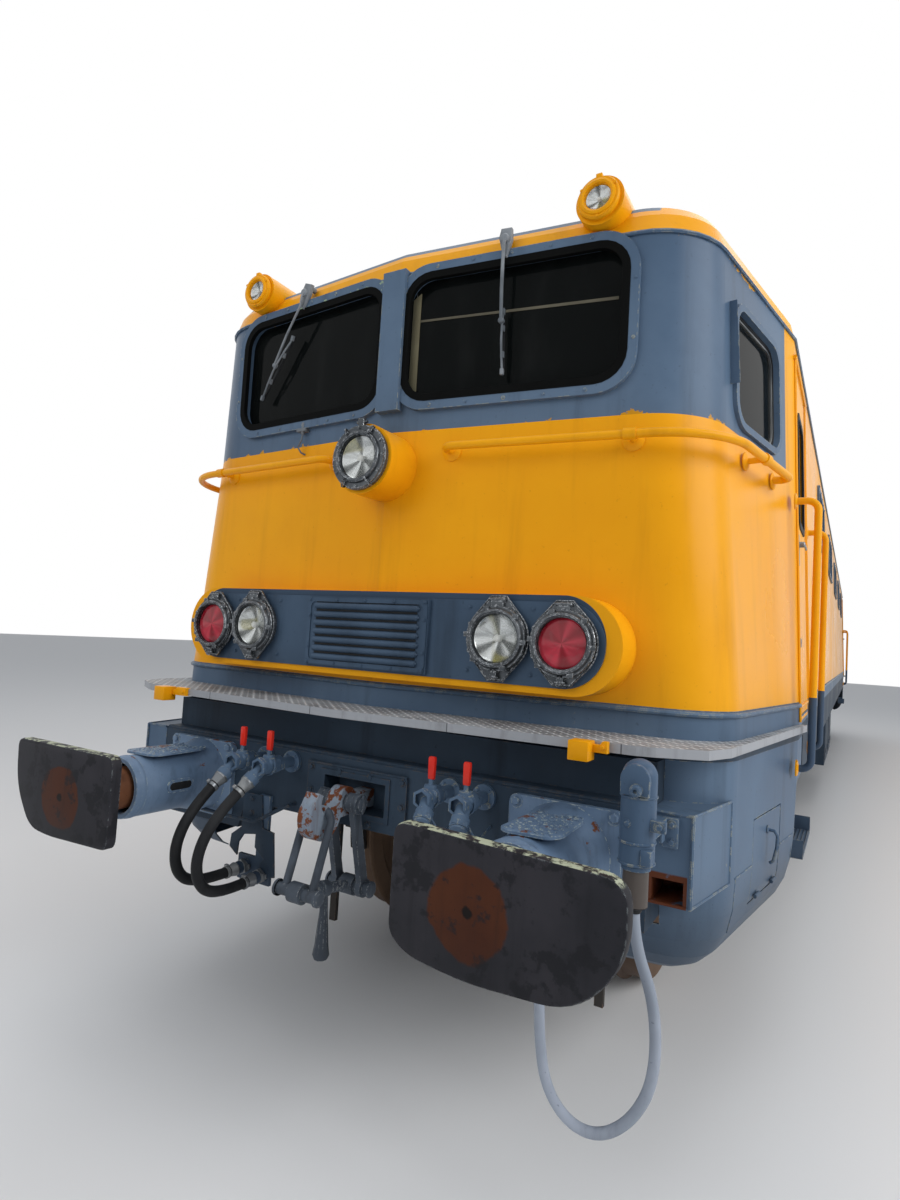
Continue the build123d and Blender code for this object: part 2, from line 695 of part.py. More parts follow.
def buffer_casing(x):
    with BuildPart() as bp:
        with BuildSketch(Plane.XY.offset(BUFFER_Z)):
            with BuildLine():
                Polyline(*[(x + r, -y) for r, y in CASING], close=True)
            make_face()
        revolve(axis=Axis((x, 0, BUFFER_Z), (0, 1, 0)))
        with BuildSketch(Plane.XZ.offset(BEAM_Y)):
            with Locations((x, BUFFER_Z)):
                RectangleRounded(400, 330, 30)
        extrude(amount=24)
        with BuildSketch(Plane.XY.offset(BUFFER_Z + 124)):
            with BuildLine():
                outline = [(x + dx, -y) for dx, y in STEP_PLATE]
                outline += [(x - dx, -y) for dx, y in reversed(STEP_PLATE)]
                Polyline(*outline, close=True)
            make_face()
        extrude(amount=18)
        for dx in (105, -145):
            with BuildSketch(Plane.YZ.offset(x + dx)):
                with Locations((-9010, BUFFER_Z)):
                    SlotOverall(110, 36)
            extrude(amount=40, mode=Mode.SUBTRACT)
    return bp.part


with BuildPart() as buffer_casings:
    for s in (1, -1):
        one = buffer_casing(s * BUFFER_X)
        add(one)
        add(turned(one))
buffer_casings.part.label = "buffer_casings"
export_step(buffer_casings.part, "parts/buffer_casings.step")


# Outlines of the two head plates about the buffers' centres: x, z
HEAD_OUTLINE = {
    1: ((403, 166), (403, -25), (285, -158), (0, -172), (-170, -152), (-238, -110), (-238, 190)),
    -1: ((-312, 190), (-300, 5), (-188, -142), (-60, -155), (300, -142), (300, 190)),
}


def buffer_head(side):
    """Head plate with rounded corners, cut lower outer corner and its plunger."""
    s = side
    with BuildPart() as bp:
        with BuildSketch(Plane.XZ.offset(HALF_LENGTH - 38)):
            with BuildLine():
                FilletPolyline(*[(s * BUFFER_X + x, BUFFER_Z + z) for x, z in HEAD_OUTLINE[s]],
                               radius=30, close=True)
            make_face()
        extrude(amount=38)
        with BuildSketch(Plane.XZ.offset(HALF_LENGTH - 38)):
            with Locations((s * BUFFER_X, BUFFER_Z)):
                Circle(85)
        extrude(amount=-(HALF_LENGTH - 38 - 9100))
        with BuildSketch(Plane.XZ.offset(HALF_LENGTH - 38)):
            with Locations((s * BUFFER_X, BUFFER_Z)):
                Circle(135)
        extrude(amount=-30)
    return bp.part


with BuildPart() as buffer_heads:
    for s in (1, -1):
        one = buffer_head(s)
        add(one)
        add(turned(one))
buffer_heads.part.label = "buffer_heads"
export_step(buffer_heads.part, "parts/buffer_heads.step")

# Draw hook and the hanging screw coupling; (y, z) of its pins
HOOK_PIN = (-8890.0, 1115.0)
REAR_BAR = (-8800.0, 775.0)
FRONT_BAR = (-9105.0, 825.0)
BOW = (-9010.0, 1104.0)                  # where the shackle hangs in the throat


def flat_link(x0, x1, p, q, eye, half):
    """Flat bar with round eyes between two (y, z) points."""
    length = hypot(q[0] - p[0], q[1] - p[1])
    ny = (p[1] - q[1]) / length * half
    nz = (q[0] - p[0]) / length * half
    with BuildPart() as bp:
        with BuildSketch(Plane.YZ.offset(x0)):
            with BuildLine():
                Polyline((p[0] + ny, p[1] + nz), (q[0] + ny, q[1] + nz),
                         (q[0] - ny, q[1] - nz), (p[0] - ny, p[1] - nz), close=True)
            make_face()
            with Locations(p, q):
                Circle(eye)
        extrude(amount=x1 - x0)
    return bp.part


def screw_z(y):
    """Height of the coupling screw's axis, which runs through both crossbars."""
    return REAR_BAR[1] + (y - REAR_BAR[0]) * (FRONT_BAR[1] - REAR_BAR[1]) / (FRONT_BAR[0] - REAR_BAR[0])


with BuildPart() as coupling:
    with BuildSketch(Plane.YZ.offset(-30)):
        with BuildLine():
            Polyline((-8720, 1140), (-8720, 1070), (-8800, 1070), (-8930, 1062))
            ThreePointArc((-8930, 1062), (-8985, 1000), (-9060, 1005))
            ThreePointArc((-9060, 1005), (-9100, 1060), (-9085, 1130))
            Polyline((-9085, 1130), (-9060, 1172), (-9035, 1160))
            ThreePointArc((-9035, 1160), (-9030, 1100), (-8985, 1085))
            Polyline((-8985, 1085), (-8950, 1110), (-8930, 1150))
            ThreePointArc((-8930, 1150), (-8890, 1172), (-8850, 1150))
            Polyline((-8850, 1150), (-8800, 1140), (-8720, 1140))
        make_face()
    extrude(amount=60)
    add(rod((-95, *HOOK_PIN), (95, *HOOK_PIN), 22))
    for s in (1, -1):
        add(rod((s * 72, *HOOK_PIN), (s * 95, *HOOK_PIN), 38))
        add(flat_link(min(s * 48, s * 72), max(s * 48, s * 72), HOOK_PIN, REAR_BAR, 36, 21))
    add(rod((-95, *REAR_BAR), (95, *REAR_BAR), 24))
    add(rod((-30, *REAR_BAR), (30, *REAR_BAR), 38))
    add(rod((0, -8770, screw_z(-8770)), (0, -9130, screw_z(-9130)), 18))
    add(rod((0, -8945, screw_z(-8945)), (0, -8985, screw_z(-8985)), 30))
    add(rod((0, -8965, screw_z(-8965)), (0, -8955, 620), 11))
    add(rod((0, -8955, 625), (0, -8953, 560), 19))
    add(rod((-88, *FRONT_BAR), (88, *FRONT_BAR), 22))
    add(rod((-28, *FRONT_BAR), (28, *FRONT_BAR), 36))
    add(tube(((62, *FRONT_BAR), (62, *BOW), (-62, *BOW), (-62, *FRONT_BAR)), [50, 50], 15))
with BuildPart() as draw_gear:
    add(coupling.part)
    add(turned(coupling.part))
draw_gear.part.label = "draw_gear"
export_step(draw_gear.part, "parts/draw_gear.step")

# Brake hoses and the jumper cable: routes from outlet to holder
HOSE_R = 21.5
HOSE_A = ((-518, -9020, 1149), (-538, -9140, 1044), (-556, -9203, 890), (-568, -9150, 757),
          (-566, -9010, 721), (-556, -8869, 733))
HOSE_B = ((-368, -9020, 1149), (-400, -9140, 1040), (-430, -9205, 880), (-448, -9150, 740),
          (-455, -9010, 700), (-455, -8869, 712))
CABLE_R = 16.0
CABLE = ((1180, -9050, 1049), (1180, -9050, 957), (1250, -9050, 795), (1256, -9048, 600),
         (1200, -9045, 470), (1110, -9043, 389), (1015, -9040, 389), (940, -9037, 462),
         (912, -9034, 590), (905, -9032, 715), (865, -9030, 805), (865, -9030, 884))


def cord(points, r):
    """Tube along a route whose bends use 0.45 of the shorter run beside them."""
    runs = [Vector(*q) - Vector(*p) for p, q in zip(points, points[1:])]
    radii = []
    for a, b in zip(runs, runs[1:]):
        half_turn = radians(a.get_angle(b)) / 2
        radii.append(0.45 * min(a.length, b.length) / tan(half_turn))
    length = sum(a.length for a in runs)
    for a, b, radius in zip(runs, runs[1:], radii):
        half_turn = radians(a.get_angle(b)) / 2
        length -= 2 * radius * (tan(half_turn) - half_turn)
    one = tube(points, radii, r)
    print("bend radii", [round(x) for x in radii], "length", round(length),
          "volume ratio", round(one.volume / (pi * r * r * length), 4))
    return one


for name, route, radius in (("brake_hose_a", HOSE_A, HOSE_R), ("brake_hose_b", HOSE_B, HOSE_R),
                            ("jumper_cable", CABLE, CABLE_R)):
    with BuildPart() as hose:
        add(cord(route, radius))
    hose.part.label = name
    export_step(hose.part, f"parts/{name}.step")


def past(points, back):
    """Point outside the end of a route, in line with its first run (back) or its last."""
    p, q = (points[1], points[0]) if back else (points[-2], points[-1])
    u = (Vector(*q) - Vector(*p)).normalized()
    return Vector(*q), u


# Air cocks, hose holder, jumper socket and cable holder
COCK_X = (-490.0, -340.0, 430.0, 570.0)
COCK_Z = 1208.0
with BuildPart() as cocks_end:
    for x in COCK_X:
        add(rod((x, -BEAM_Y, COCK_Z), (x, -8930, COCK_Z), 23))
        add(rod((x, -BEAM_Y, COCK_Z), (x, -8815, COCK_Z), 45))
        add(rod((x, -8905, COCK_Z), (x, -8985, COCK_Z), 34))
        add(rod((x, -8945, COCK_Z), (x, -8945, 1250), 18))
    for x in (430.0, 570.0):
        add(rod((x + 4, -8965, 1200), (x + 20, -9019, 1150), 26))
        add(rod((x + 14, -8999, 1168), (x + 21, -9023, 1146), 32))
    for route in (HOSE_A, HOSE_B):
        start, u = past(route, True)
        add(rod(tuple(start), tuple(start + u * 75), 26))
        add(rod(tuple(start), tuple(start + u * 28), 31))
        end, u = past(route, False)
        add(rod(tuple(end), tuple(end + u * 60), 26))
    add(block(-500, -440, -8816, -8800, 700, 1045))
    add(block(-600, -415, -8816, -8800, 675, 780))
with BuildPart() as jumper_end:
    add(rod((1180, -9050, 1165), (1180, -9050, 1405), 50))
    with Locations((1180, -9050, 1405)):
        Sphere(50)
    add(rod((1180, -9050, 1049), (1180, -9050, 1165), 36))
    add(block(1150, 1210, -9010, -BEAM_Y, 1215, 1250))
    add(block(845, 885, -9055, -BEAM_Y, 884, 908))
with BuildPart() as brake_cocks:
    for one in (cocks_end.part, jumper_end.part):
        add(one)
        add(turned(one))
brake_cocks.part.label = "brake_cocks"
export_step(brake_cocks.part, "parts/brake_cocks.step")

with BuildPart() as handles_end:
    for x in COCK_X:
        add(block(x - 11, x + 11, -8952, -8938, 1250, 1345))
with BuildPart() as cock_handles:
    add(handles_end.part)
    add(turned(handles_end.part))
cock_handles.part.label = "cock_handles"
export_step(cock_handles.part, "parts/cock_handles.step")

# Machine-room equipment as one plain block
with BuildPart() as equipment:
    add(block(-1300, 1300, -6600, 6600, Z_FLOOR + 5, 3200))
equipment.part.label = "equipment"
export_step(equipment.part, "parts/equipment.step")

# Underfloor boxes and air tanks between the bogies
with BuildPart() as underfloor:
    for s in (1, -1):
        add(block(s * 760, s * 1400, -1150, -60, 480, 1200))
        add(block(s * 760, s * 1400, 60, 1150, 480, 1200))
        with BuildSketch(Plane.XZ.offset(1100)):
            with Locations((s * 360, 900)):
                Circle(230)
        extrude(amount=-2200)
        add(block(s * 330, s * 390, -800, -740, 1100, 1200))
        add(block(s * 330, s * 390, 740, 800, 1100, 1200))
underfloor.part.label = "underfloor"
export_step(underfloor.part, "parts/underfloor.step")

# Pantographs, folded: base frame on insulators, two lower arms, two upper arms, collector head
PANTO_Y = 5200.0
PIVOT_Z = 3900.0
PIVOT_B = 250.0
ARM_L = 1100.0
FOLD = radians(5.0)
KNEE = (PIVOT_B + ARM_L * cos(FOLD), PIVOT_Z + ARM_L * sin(FOLD))
HEAD_Z = PIVOT_Z + 2 * ARM_L * sin(FOLD)
ROOF_BAR = (0.0, 3825.0)    # x and z of the bar that joins the two pantographs

with BuildPart() as insulator_end:
    for x in (-330, 330):
        for dy in (-600, 600):
            add(rod((x, -PANTO_Y + dy, 3621), (x, -PANTO_Y + dy, 3800), 48))
            for k in range(4):
                add(rod((x, -PANTO_Y + dy, 3645 + 38 * k), (x, -PANTO_Y + dy, 3657 + 38 * k), 68))
with BuildPart() as bar_support:
    for y in (-3600, -1000):
        add(rod((ROOF_BAR[0], y, ROOF_COVER_Z + 0.5), (ROOF_BAR[0], y, ROOF_BAR[1] - 14), 34))
        for k in range(3):
            z = 3675 + 38 * k
            add(rod((ROOF_BAR[0], y, z), (ROOF_BAR[0], y, z + 12), 52))
with BuildPart() as insulators:
    for one in (insulator_end.part, bar_support.part):
        add(one)
        add(turned(one))
insulators.part.label = "insulators"
export_step(insulators.part, "parts/insulators.step")

with BuildPart() as base_end:
    for x in (-330, 330):
        add(block(x - 30, x + 30, -PANTO_Y - 700, -PANTO_Y + 700, 3800, 3850))
        for dy in (-PIVOT_B, PIVOT_B):
            add(block(x - 12, x + 12, -PANTO_Y + dy - 30, -PANTO_Y + dy + 30, 3850, 3930))
            add(rod((x - 12, -PANTO_Y + dy, PIVOT_Z), (x + 12, -PANTO_Y + dy, PIVOT_Z), 31))
    for dy in (-650, 0, 650):
        add(block(-330, 330, -PANTO_Y + dy - 25, -PANTO_Y + dy + 25, 3805, 3845))
    for x in (-330, 330):
        for dy in (-PIVOT_B, PIVOT_B):
            add(rod((x - 40, -PANTO_Y + dy, PIVOT_Z), (x + 40, -PANTO_Y + dy, PIVOT_Z), 21),
                mode=Mode.SUBTRACT)
with BuildPart() as panto_bases:
    add(base_end.part)
    add(turned(base_end.part))
    add(rod((ROOF_BAR[0], -4520, ROOF_BAR[1]), (ROOF_BAR[0], 4520, ROOF_BAR[1]), 13.5))
panto_bases.part.label = "panto_bases"
export_step(panto_bases.part, "parts/panto_bases.step")


def lower_arm(d):
    """d is -1 for the arm reaching towards the front, +1 towards the rear."""
    yp = d * PIVOT_B
    yk = d * KNEE[0]
    with BuildPart() as bp:
        add(rod((-355, yp, PIVOT_Z), (355, yp, PIVOT_Z), 15))
        for sx in (1, -1):
            add(rod((sx * 295, yp, PIVOT_Z), (sx * 295, yk, KNEE[1]), 20))
            add(rod((sx * 268, yp, PIVOT_Z), (sx * 306, yp, PIVOT_Z), 30))
            add(rod((sx * 278, yk, KNEE[1]), (sx * 312, yk, KNEE[1]), 28))
        add(rod((-300, yk, KNEE[1]), (300, yk, KNEE[1]), 10))
    return bp.part


def upper_arm(d, shaft_hole):
    yk = d * KNEE[0]
    yh = d * PIVOT_B
    with BuildPart() as bp:
        for sx in (1, -1):
            add(rod((sx * 245, yk, KNEE[1]), (sx * 205, yh, HEAD_Z), 14))
            add(rod((sx * 230, yk, KNEE[1]), (sx * 262, yk, KNEE[1]), 26))
            add(rod((sx * 190, yh, HEAD_Z), (sx * 222, yh, HEAD_Z), 26))
        add(rod((-236, yk - d * 90, KNEE[1] + 90 * tan(FOLD)),
                (236, yk - d * 90, KNEE[1] + 90 * tan(FOLD)), 12))
        for sx in (1, -1):
            add(rod((sx * 200, yk, KNEE[1]), (sx * 290, yk, KNEE[1]), 16), mode=Mode.SUBTRACT)
            add(rod((sx * 170, yh, HEAD_Z), (sx * 240, yh, HEAD_Z), shaft_hole), mode=Mode.SUBTRACT)
    return bp.part


def collector_head():
    with BuildPart() as bp:
        for d in (-1, 1):
            add(rod((-232, d * PIVOT_B, HEAD_Z), (232, d * PIVOT_B, HEAD_Z), 10))
        for sx in (1, -1):
            add(block(sx * 150, sx * 170, -PIVOT_B - 20, PIVOT_B + 20, HEAD_Z - 16, HEAD_Z + 16))
            for d in (-1, 1):
                add(block(sx * 150, sx * 170, d * 150 - 14, d * 150 + 14, HEAD_Z, HEAD_Z + 75))
        for d in (-1, 1):
            with BuildSketch(Plane.XZ.offset(-(d * 150 + 22))):
                with BuildLine():
                    Polyline((-500, HEAD_Z + 70), (500, HEAD_Z + 70), (760, HEAD_Z + 10), (865, HEAD_Z - 75),
                             (885, HEAD_Z - 60), (780, HEAD_Z + 35), (505, HEAD_Z + 100),
                             (-505, HEAD_Z + 100), (-780, HEAD_Z + 35), (-885, HEAD_Z - 60),
                             (-865, HEAD_Z - 75), (-760, HEAD_Z + 10), close=True)
                make_face()
            extrude(amount=44)
    return bp.part


for end_name, y in (("front", -PANTO_Y), ("rear", PANTO_Y)):
    spin = Pos(0, y, 0) * (Rot(0, 0, 0) if y < 0 else Rot(0, 0, 180))
    PIECES = {
        f"panto_{end_name}_lower_a": lower_arm(-1),
        f"panto_{end_name}_lower_b": lower_arm(1),
        f"panto_{end_name}_upper_a": upper_arm(-1, 16),
        f"panto_{end_name}_upper_b": upper_arm(1, 16),
        f"panto_{end_name}_head": collector_head(),
    }
    for name, shape in PIECES.items():
        with BuildPart() as piece:
            add(spin * shape)
        piece.part.label = name
        export_step(piece.part, f"parts/{name}.step")

# Wheelsets: two wheels and the axle between them
WHEEL = ((660, 0), (660, 165), (700, 172), (712, 230), (712, 500), (690, 540), (680, 545), (680, 634),
         (686, 649), (694, 653), (702, 650), (712, 630), (722, 626), (820, 621), (820, 545), (775, 535),
         (752, 500), (752, 230), (772, 170), (840, 160), (840, 0), (660, 0))
with BuildPart() as wheel:
    with BuildSketch(Plane.XY):
        with BuildLine():
            Polyline(*WHEEL, close=False)
        make_face()
    revolve(axis=Axis.X)
with BuildPart() as wheelset:
    add(wheel.part)
    add(mirror(wheel.part, Plane.YZ))
    add(rod((-659.5, 0, 0), (659.5, 0, 0), 92))
AXLES = [e * BOGIE_Y + k * AXLE_PITCH for e in (-1, 1) for k in (-1, 0, 1)]
for i, y in enumerate(AXLES):
    with BuildPart() as ws:
        add(Pos(0, y, AXLE_Z) * wheelset.part)
    ws.part.label = f"wheelset_{i + 1}"
    export_step(ws.part, f"parts/wheelset_{i + 1}.step")

# Bogie frames with the traction motors, side bearer pads, brake shoes and guard irons
# Half of the side frame's outline: y, z
SIDE_FRAME = ((0, 1000), (3120, 1000), (3270, 940), (3270, 850), (1790, 850), (1640, 700), (780, 700),
              (630, 850), (0, 850))
SHOE_R = (634.0, 675.0)


def brake_shoe(s, y, d):
    """Shoe beside the tread with its hanger and the arm to the side frame."""
    yh = y + d * SHOE_R[1]
    with BuildPart() as bp:
        with BuildSketch(Plane.YZ.offset(s * 772 - 42)):
            with Locations((y, AXLE_Z)):
                Circle(SHOE_R[1])
                Circle(SHOE_R[0], mode=Mode.SUBTRACT)
            with Locations((y + d * 655, AXLE_Z)):
                Rectangle(120, 270, mode=Mode.INTERSECT)
        extrude(amount=84)
        add(block(s * 755, s * 790, yh - 5 * d, yh + 25 * d, AXLE_Z - 60, 900))
        add(block(s * 755, s * 961, yh - 5 * d, yh + 25 * d, 870, 900))
    return bp.part


with BuildPart() as bogie:
    for s in (1, -1):
        with BuildSketch(Plane.YZ.offset(s * 1040 - 80)):
            with BuildLine():
                Polyline(*(SIDE_FRAME + tuple((-y, z) for y, z in reversed(SIDE_FRAME[1:-1]))),
                         close=True)
            make_face()
        extrude(amount=160)
        for y in (-1211, 1211):
            add(block(s * 980, s * 1100, y - 90, y + 90, 1000, 1185))
        for k in (-1, 0, 1):
            for d in (-1, 1):
                add(brake_shoe(s, k * AXLE_PITCH, d))
        for d in (-1, 1):
            add(block(s * 735, s * 775, d * 3265, d * 3290, 180, 960))
    for y in (-3220, 3220):
        add(block(-1120, 1120, y - 50, y + 50, 850, 1000))
    for y in (-1211, 1211):
        add(block(-1120, 1120, y - 120, y + 120, 720, 960))
    for y0, y1 in ((-2292, -1331), (130, 1091), (1331, 2292)):
        add(block(-600, 600, y0, y1, 340, 960))
with BuildPart() as boxes:
    for k in (-1, 0, 1):
        y = k * AXLE_PITCH
        for s in (1, -1):
            add(block(s * 962, s * 1175, y - 150, y + 150, AXLE_Z - 150, AXLE_Z + 150))
            add(rod((s * 846, y, AXLE_Z), (s * 962, y, AXLE_Z), 118))
            add(block(s * 985, s * 1125, y - 320, y + 320, AXLE_Z - 140, AXLE_Z - 95))
            for dy in (-235, 235):
                add(rod((s * 1055, y + dy, AXLE_Z - 95), (s * 1055, y + dy, 849), 38))
            add(rod((s * 1174, y, AXLE_Z), (s * 1192, y, AXLE_Z), 112))
            add(rod((s * 1191, y, AXLE_Z), (s * 1202, y, AXLE_Z), 68))
for name, y in (("front", -BOGIE_Y), ("rear", BOGIE_Y)):
    with BuildPart() as frame:
        add(Pos(0, y, 0) * bogie.part)
    frame.part.label = f"bogie_frame_{name}"
    export_step(frame.part, f"parts/bogie_frame_{name}.step")
    with BuildPart() as axle_boxes:
        add(Pos(0, y, 0) * boxes.part)
    axle_boxes.part.label = f"axle_boxes_{name}"
    export_step(axle_boxes.part, f"parts/axle_boxes_{name}.step")
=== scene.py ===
"""Looks of the electric locomotive: finishes for the CAD nodes and the fine pieces round them."""
import bpy
import bmesh
import json
from math import acos, atan2, copysign, cos, hypot, pi, radians, sin, tan
from mathutils import Matrix, Vector


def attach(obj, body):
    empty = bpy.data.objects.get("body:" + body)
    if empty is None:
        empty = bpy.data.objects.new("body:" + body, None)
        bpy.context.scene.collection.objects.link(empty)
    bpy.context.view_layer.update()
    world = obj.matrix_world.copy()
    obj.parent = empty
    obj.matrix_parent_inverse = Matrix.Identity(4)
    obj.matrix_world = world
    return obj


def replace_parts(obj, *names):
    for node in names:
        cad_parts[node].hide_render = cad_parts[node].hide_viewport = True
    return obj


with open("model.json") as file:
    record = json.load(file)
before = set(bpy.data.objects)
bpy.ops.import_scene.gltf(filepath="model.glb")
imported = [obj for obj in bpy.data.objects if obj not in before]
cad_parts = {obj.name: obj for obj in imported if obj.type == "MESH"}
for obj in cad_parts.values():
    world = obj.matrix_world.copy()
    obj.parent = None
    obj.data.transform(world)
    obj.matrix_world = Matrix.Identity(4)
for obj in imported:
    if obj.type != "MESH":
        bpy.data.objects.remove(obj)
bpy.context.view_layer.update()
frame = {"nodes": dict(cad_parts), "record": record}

# Measures shared with the CAD, in metres
NOSE_Y = 8.740
FACE_SLOPE = 0.10
HEADSTOCK_Y = -8.800
BUFFER_X, BUFFER_Z = 0.875, 1.078
BOGIE_Y, AXLE_PITCH, AXLE_Z = 4.6475, 2.4225, 0.653

# The photograph's camera: 900 x 1200 frame
IMAGE_H = 1200
SENSOR_H = 36.0
FOCAL_PX = 698.3
CAM_POS = (1.698, -11.066, 1.760)
CAM_YAW, CAM_PITCH, CAM_ROLL = radians(-30.23), radians(3.21), radians(3.43)

FRONT, RIGHT, UP = (0, -1, 0), (1, 0, 0), (0, 0, 1)
BACK = (0, 1, 0)
TURN = Matrix.Rotation(pi, 4, "Z")
MIRROR = Matrix.Scale(-1, 4, RIGHT)


def link_object(name, data):
    ob = bpy.data.objects.new(name, data)
    bpy.context.scene.collection.objects.link(ob)
    return ob


def photo_camera():
    w = Vector((sin(CAM_YAW) * cos(CAM_PITCH), cos(CAM_YAW) * cos(CAM_PITCH), sin(CAM_PITCH)))
    r0 = Vector((cos(CAM_YAW), -sin(CAM_YAW), 0))
    u0 = r0.cross(w)
    r = r0 * cos(CAM_ROLL) + u0 * sin(CAM_ROLL)
    u = u0 * cos(CAM_ROLL) - r0 * sin(CAM_ROLL)
    data = bpy.data.cameras.new("camera")
    data.sensor_fit = "VERTICAL"
    data.sensor_height = SENSOR_H
    data.lens = FOCAL_PX / IMAGE_H * SENSOR_H
    data.clip_end = 200
    cam = link_object("camera", data)
    cam.matrix_world = Matrix(((r.x, u.x, -w.x, CAM_POS[0]), (r.y, u.y, -w.y, CAM_POS[1]),
                               (r.z, u.z, -w.z, CAM_POS[2]), (0, 0, 0, 1)))
    bpy.context.scene.camera = cam


photo_camera()


def srgb(r, g, b):
    def lin(c):
        c /= 255.0
        return c / 12.92 if c <= 0.04045 else ((c + 0.055) / 1.055) ** 2.4
    return (lin(r), lin(g), lin(b))


class Value:
    """Output of a node, with the arithmetic that the masks are written in."""

    def __init__(self, nt, socket):
        self.nt = nt
        self.socket = socket

    def feed(self, socket):
        self.nt.links.new(self.socket, socket)

    def calc(self, operation, *values):
        node = self.nt.nodes.new("ShaderNodeMath")
        node.operation = operation
        for value, socket in zip(values, node.inputs):
            put(value, socket)
        return Value(self.nt, node.outputs[0])

    def __add__(self, other):
        return self.calc("ADD", self, other)

    def __sub__(self, other):
        return self.calc("SUBTRACT", self, other)

    def __rsub__(self, other):
        return self.calc("SUBTRACT", other, self)

    def __mul__(self, other):
        return self.calc("MULTIPLY", self, other)

    def __truediv__(self, other):
        return self.calc("DIVIDE", self, other)

    def __abs__(self):
        return self.calc("ABSOLUTE", self)

    def most(self, other):
        return self.calc("MAXIMUM", self, other)

    def zigzag(self, height):
        return self.calc("PINGPONG", self, height)

    def ramp(self, low, high, a=0.0, b=1.0):
        """Smooth step from a, up to low, to b, from high on."""
        node = self.nt.nodes.new("ShaderNodeMapRange")
        node.interpolation_type = "SMOOTHSTEP"
        inputs = {"Value": self, "From Min": low, "From Max": high, "To Min": a, "To Max": b}
        for name, value in inputs.items():
            put(value, node.inputs[name])
        return Value(self.nt, node.outputs["Result"])


def put(value, socket):
    """Feeds a socket from a node, or sets it to a number or colour."""
    if isinstance(value, Value):
        value.feed(socket)
    elif isinstance(value, tuple) and len(value) == 3 and socket.type == "RGBA":
        socket.default_value = (*value, 1)
    else:
        socket.default_value = value


class Look:
    """A material, the record's slot that it belongs to, and short calls for its patterns."""

    def __init__(self, name, slot, like=None):
        self.material = like.material.copy() if like else bpy.data.materials.new(name)
        self.material.name = name
        self.material.use_nodes = True
        self.slot = slot
        self.nt = self.material.node_tree
        self.bsdf = self.nt.nodes["Principled BSDF"]
        self.coords = self.nt.nodes.new("ShaderNodeTexCoord").outputs

    def set(self, name, value):
        put(value, self.bsdf.inputs[name])

    def node(self, kind, output, inputs, operation=None):
        """Output of a new node, whose inputs are given by name or place."""
        node = self.nt.nodes.new("ShaderNode" + kind)
        if operation:
            node.operation = operation
        for key, value in inputs.items():
            put(value, node.inputs[key])
        return Value(self.nt, node.outputs[output])

    def point(self, source="Object"):
        return Value(self.nt, self.coords[source])

    def at(self, axis, source="Object"):
        """One coordinate of the point, or of the way its surface faces."""
        return self.node("SeparateXYZ", axis, {0: self.point(source)})

    def facing(self, axis, low, high):
        return self.at(axis, "Normal").ramp(low, high)

    def noise(self, scale, detail=4.0, rough=0.55, stretch=(1, 1, 1), vector=None):
        place = self.node("Mapping", "Vector", {"Scale": stretch, "Vector": vector or self.point()})
        settings = {"Scale": scale, "Detail": detail, "Roughness": rough, "Vector": place}
        return self.node("TexNoise", "Fac", settings)

    def mix(self, fac, a, b):
        """Colour a where fac is 0 and b where it is 1."""
        node = self.nt.nodes.new("ShaderNodeMix")
        node.data_type = "RGBA"
        sockets = {s.identifier: s for s in (*node.inputs, *node.outputs)}
        for name, value in (("Factor_Float", fac), ("A_Color", a), ("B_Color", b)):
            put(value, sockets[name])
        return Value(self.nt, sockets["Result_Color"])

    def bump(self, height, strength, distance=0.002):
        settings = {"Strength": strength, "Distance": distance, "Height": height}
        self.set("Normal", self.node("Bump", "Normal", settings))

    def overlay(self, mask, colour):
        """Lays a colour over the finished paint wherever the mask is 1."""
        under = Value(self.nt, self.bsdf.inputs["Base Color"].links[0].from_socket)
        self.set("Base Color", self.mix(mask(self), under, srgb(*colour)))


def worn_edges(t):
    """1 along convex and concave edges, from the angle between a rounded and the true normal."""
    rounded_normal = t.node("Bevel", "Normal", {"Radius": 0.006})
    true_normal = t.node("NewGeometry", "Normal", {})
    alike = t.node("VectorMath", "Value", {0: rounded_normal, 1: true_normal}, "DOT_PRODUCT")
    return alike.ramp(0.93, 0.995, 1.0, 0.0)


def paint(name, slot, tones, rough, grime, scale=1.0, chips=None, edge=None, coat=0.0, metal=0.0,
          specular=0.14, second=None, where=None, seams=None):
    """Weathered paint: cloudy tone, upright run marks, dirt specks, small chips and worn edges.
    Tones are the base, its dirt and its light clouds; second has three more, shown where the mask is 1."""
    t = Look(name + "_look", slot)
    base, dark, light = (srgb(*tone) for tone in tones)
    if second:
        mask = where(t)
        base, dark, light = (t.mix(mask, a, srgb(*b)) for a, b in zip((base, dark, light), second))
    cloud = t.noise(1.3 * scale, 5)
    col = t.mix(cloud.ramp(0.35, 0.7), base, light)
    runs = t.noise(9.0 * scale, 6, 0.6, (1.0, 1.0, 0.08))
    col = t.mix(runs.ramp(0.5, 0.78, 0.0, grime), col, dark)
    specks = t.noise(60.0 * scale, 3)
    col = t.mix(specks.ramp(0.66, 0.74, 0.0, grime * 0.8), col, dark)
    if chips:
        spots = t.noise(22.0 * scale, 8, 0.7)
        col = t.mix(spots.ramp(0.69, 0.71, 0.0, 0.85), col, srgb(*chips))
    if seams:
        col = t.mix(seams(t), col, dark)
    if edge:
        broken = t.noise(30.0 * scale, 6, 0.7).ramp(0.50, 0.56)
        col = t.mix(worn_edges(t) * broken, col, srgb(*edge))
    t.set("Base Color", col)
    t.set("Roughness", cloud.ramp(0.3, 0.75, rough - 0.06, rough + 0.12))
    t.set("Specular IOR Level", specular)
    t.set("Metallic", metal)
    if coat:
        t.set("Coat Weight", coat)
        t.set("Coat Roughness", 0.12)
    t.bump(t.noise(3.0 * scale, 3), 0.12, 0.004)
    return t


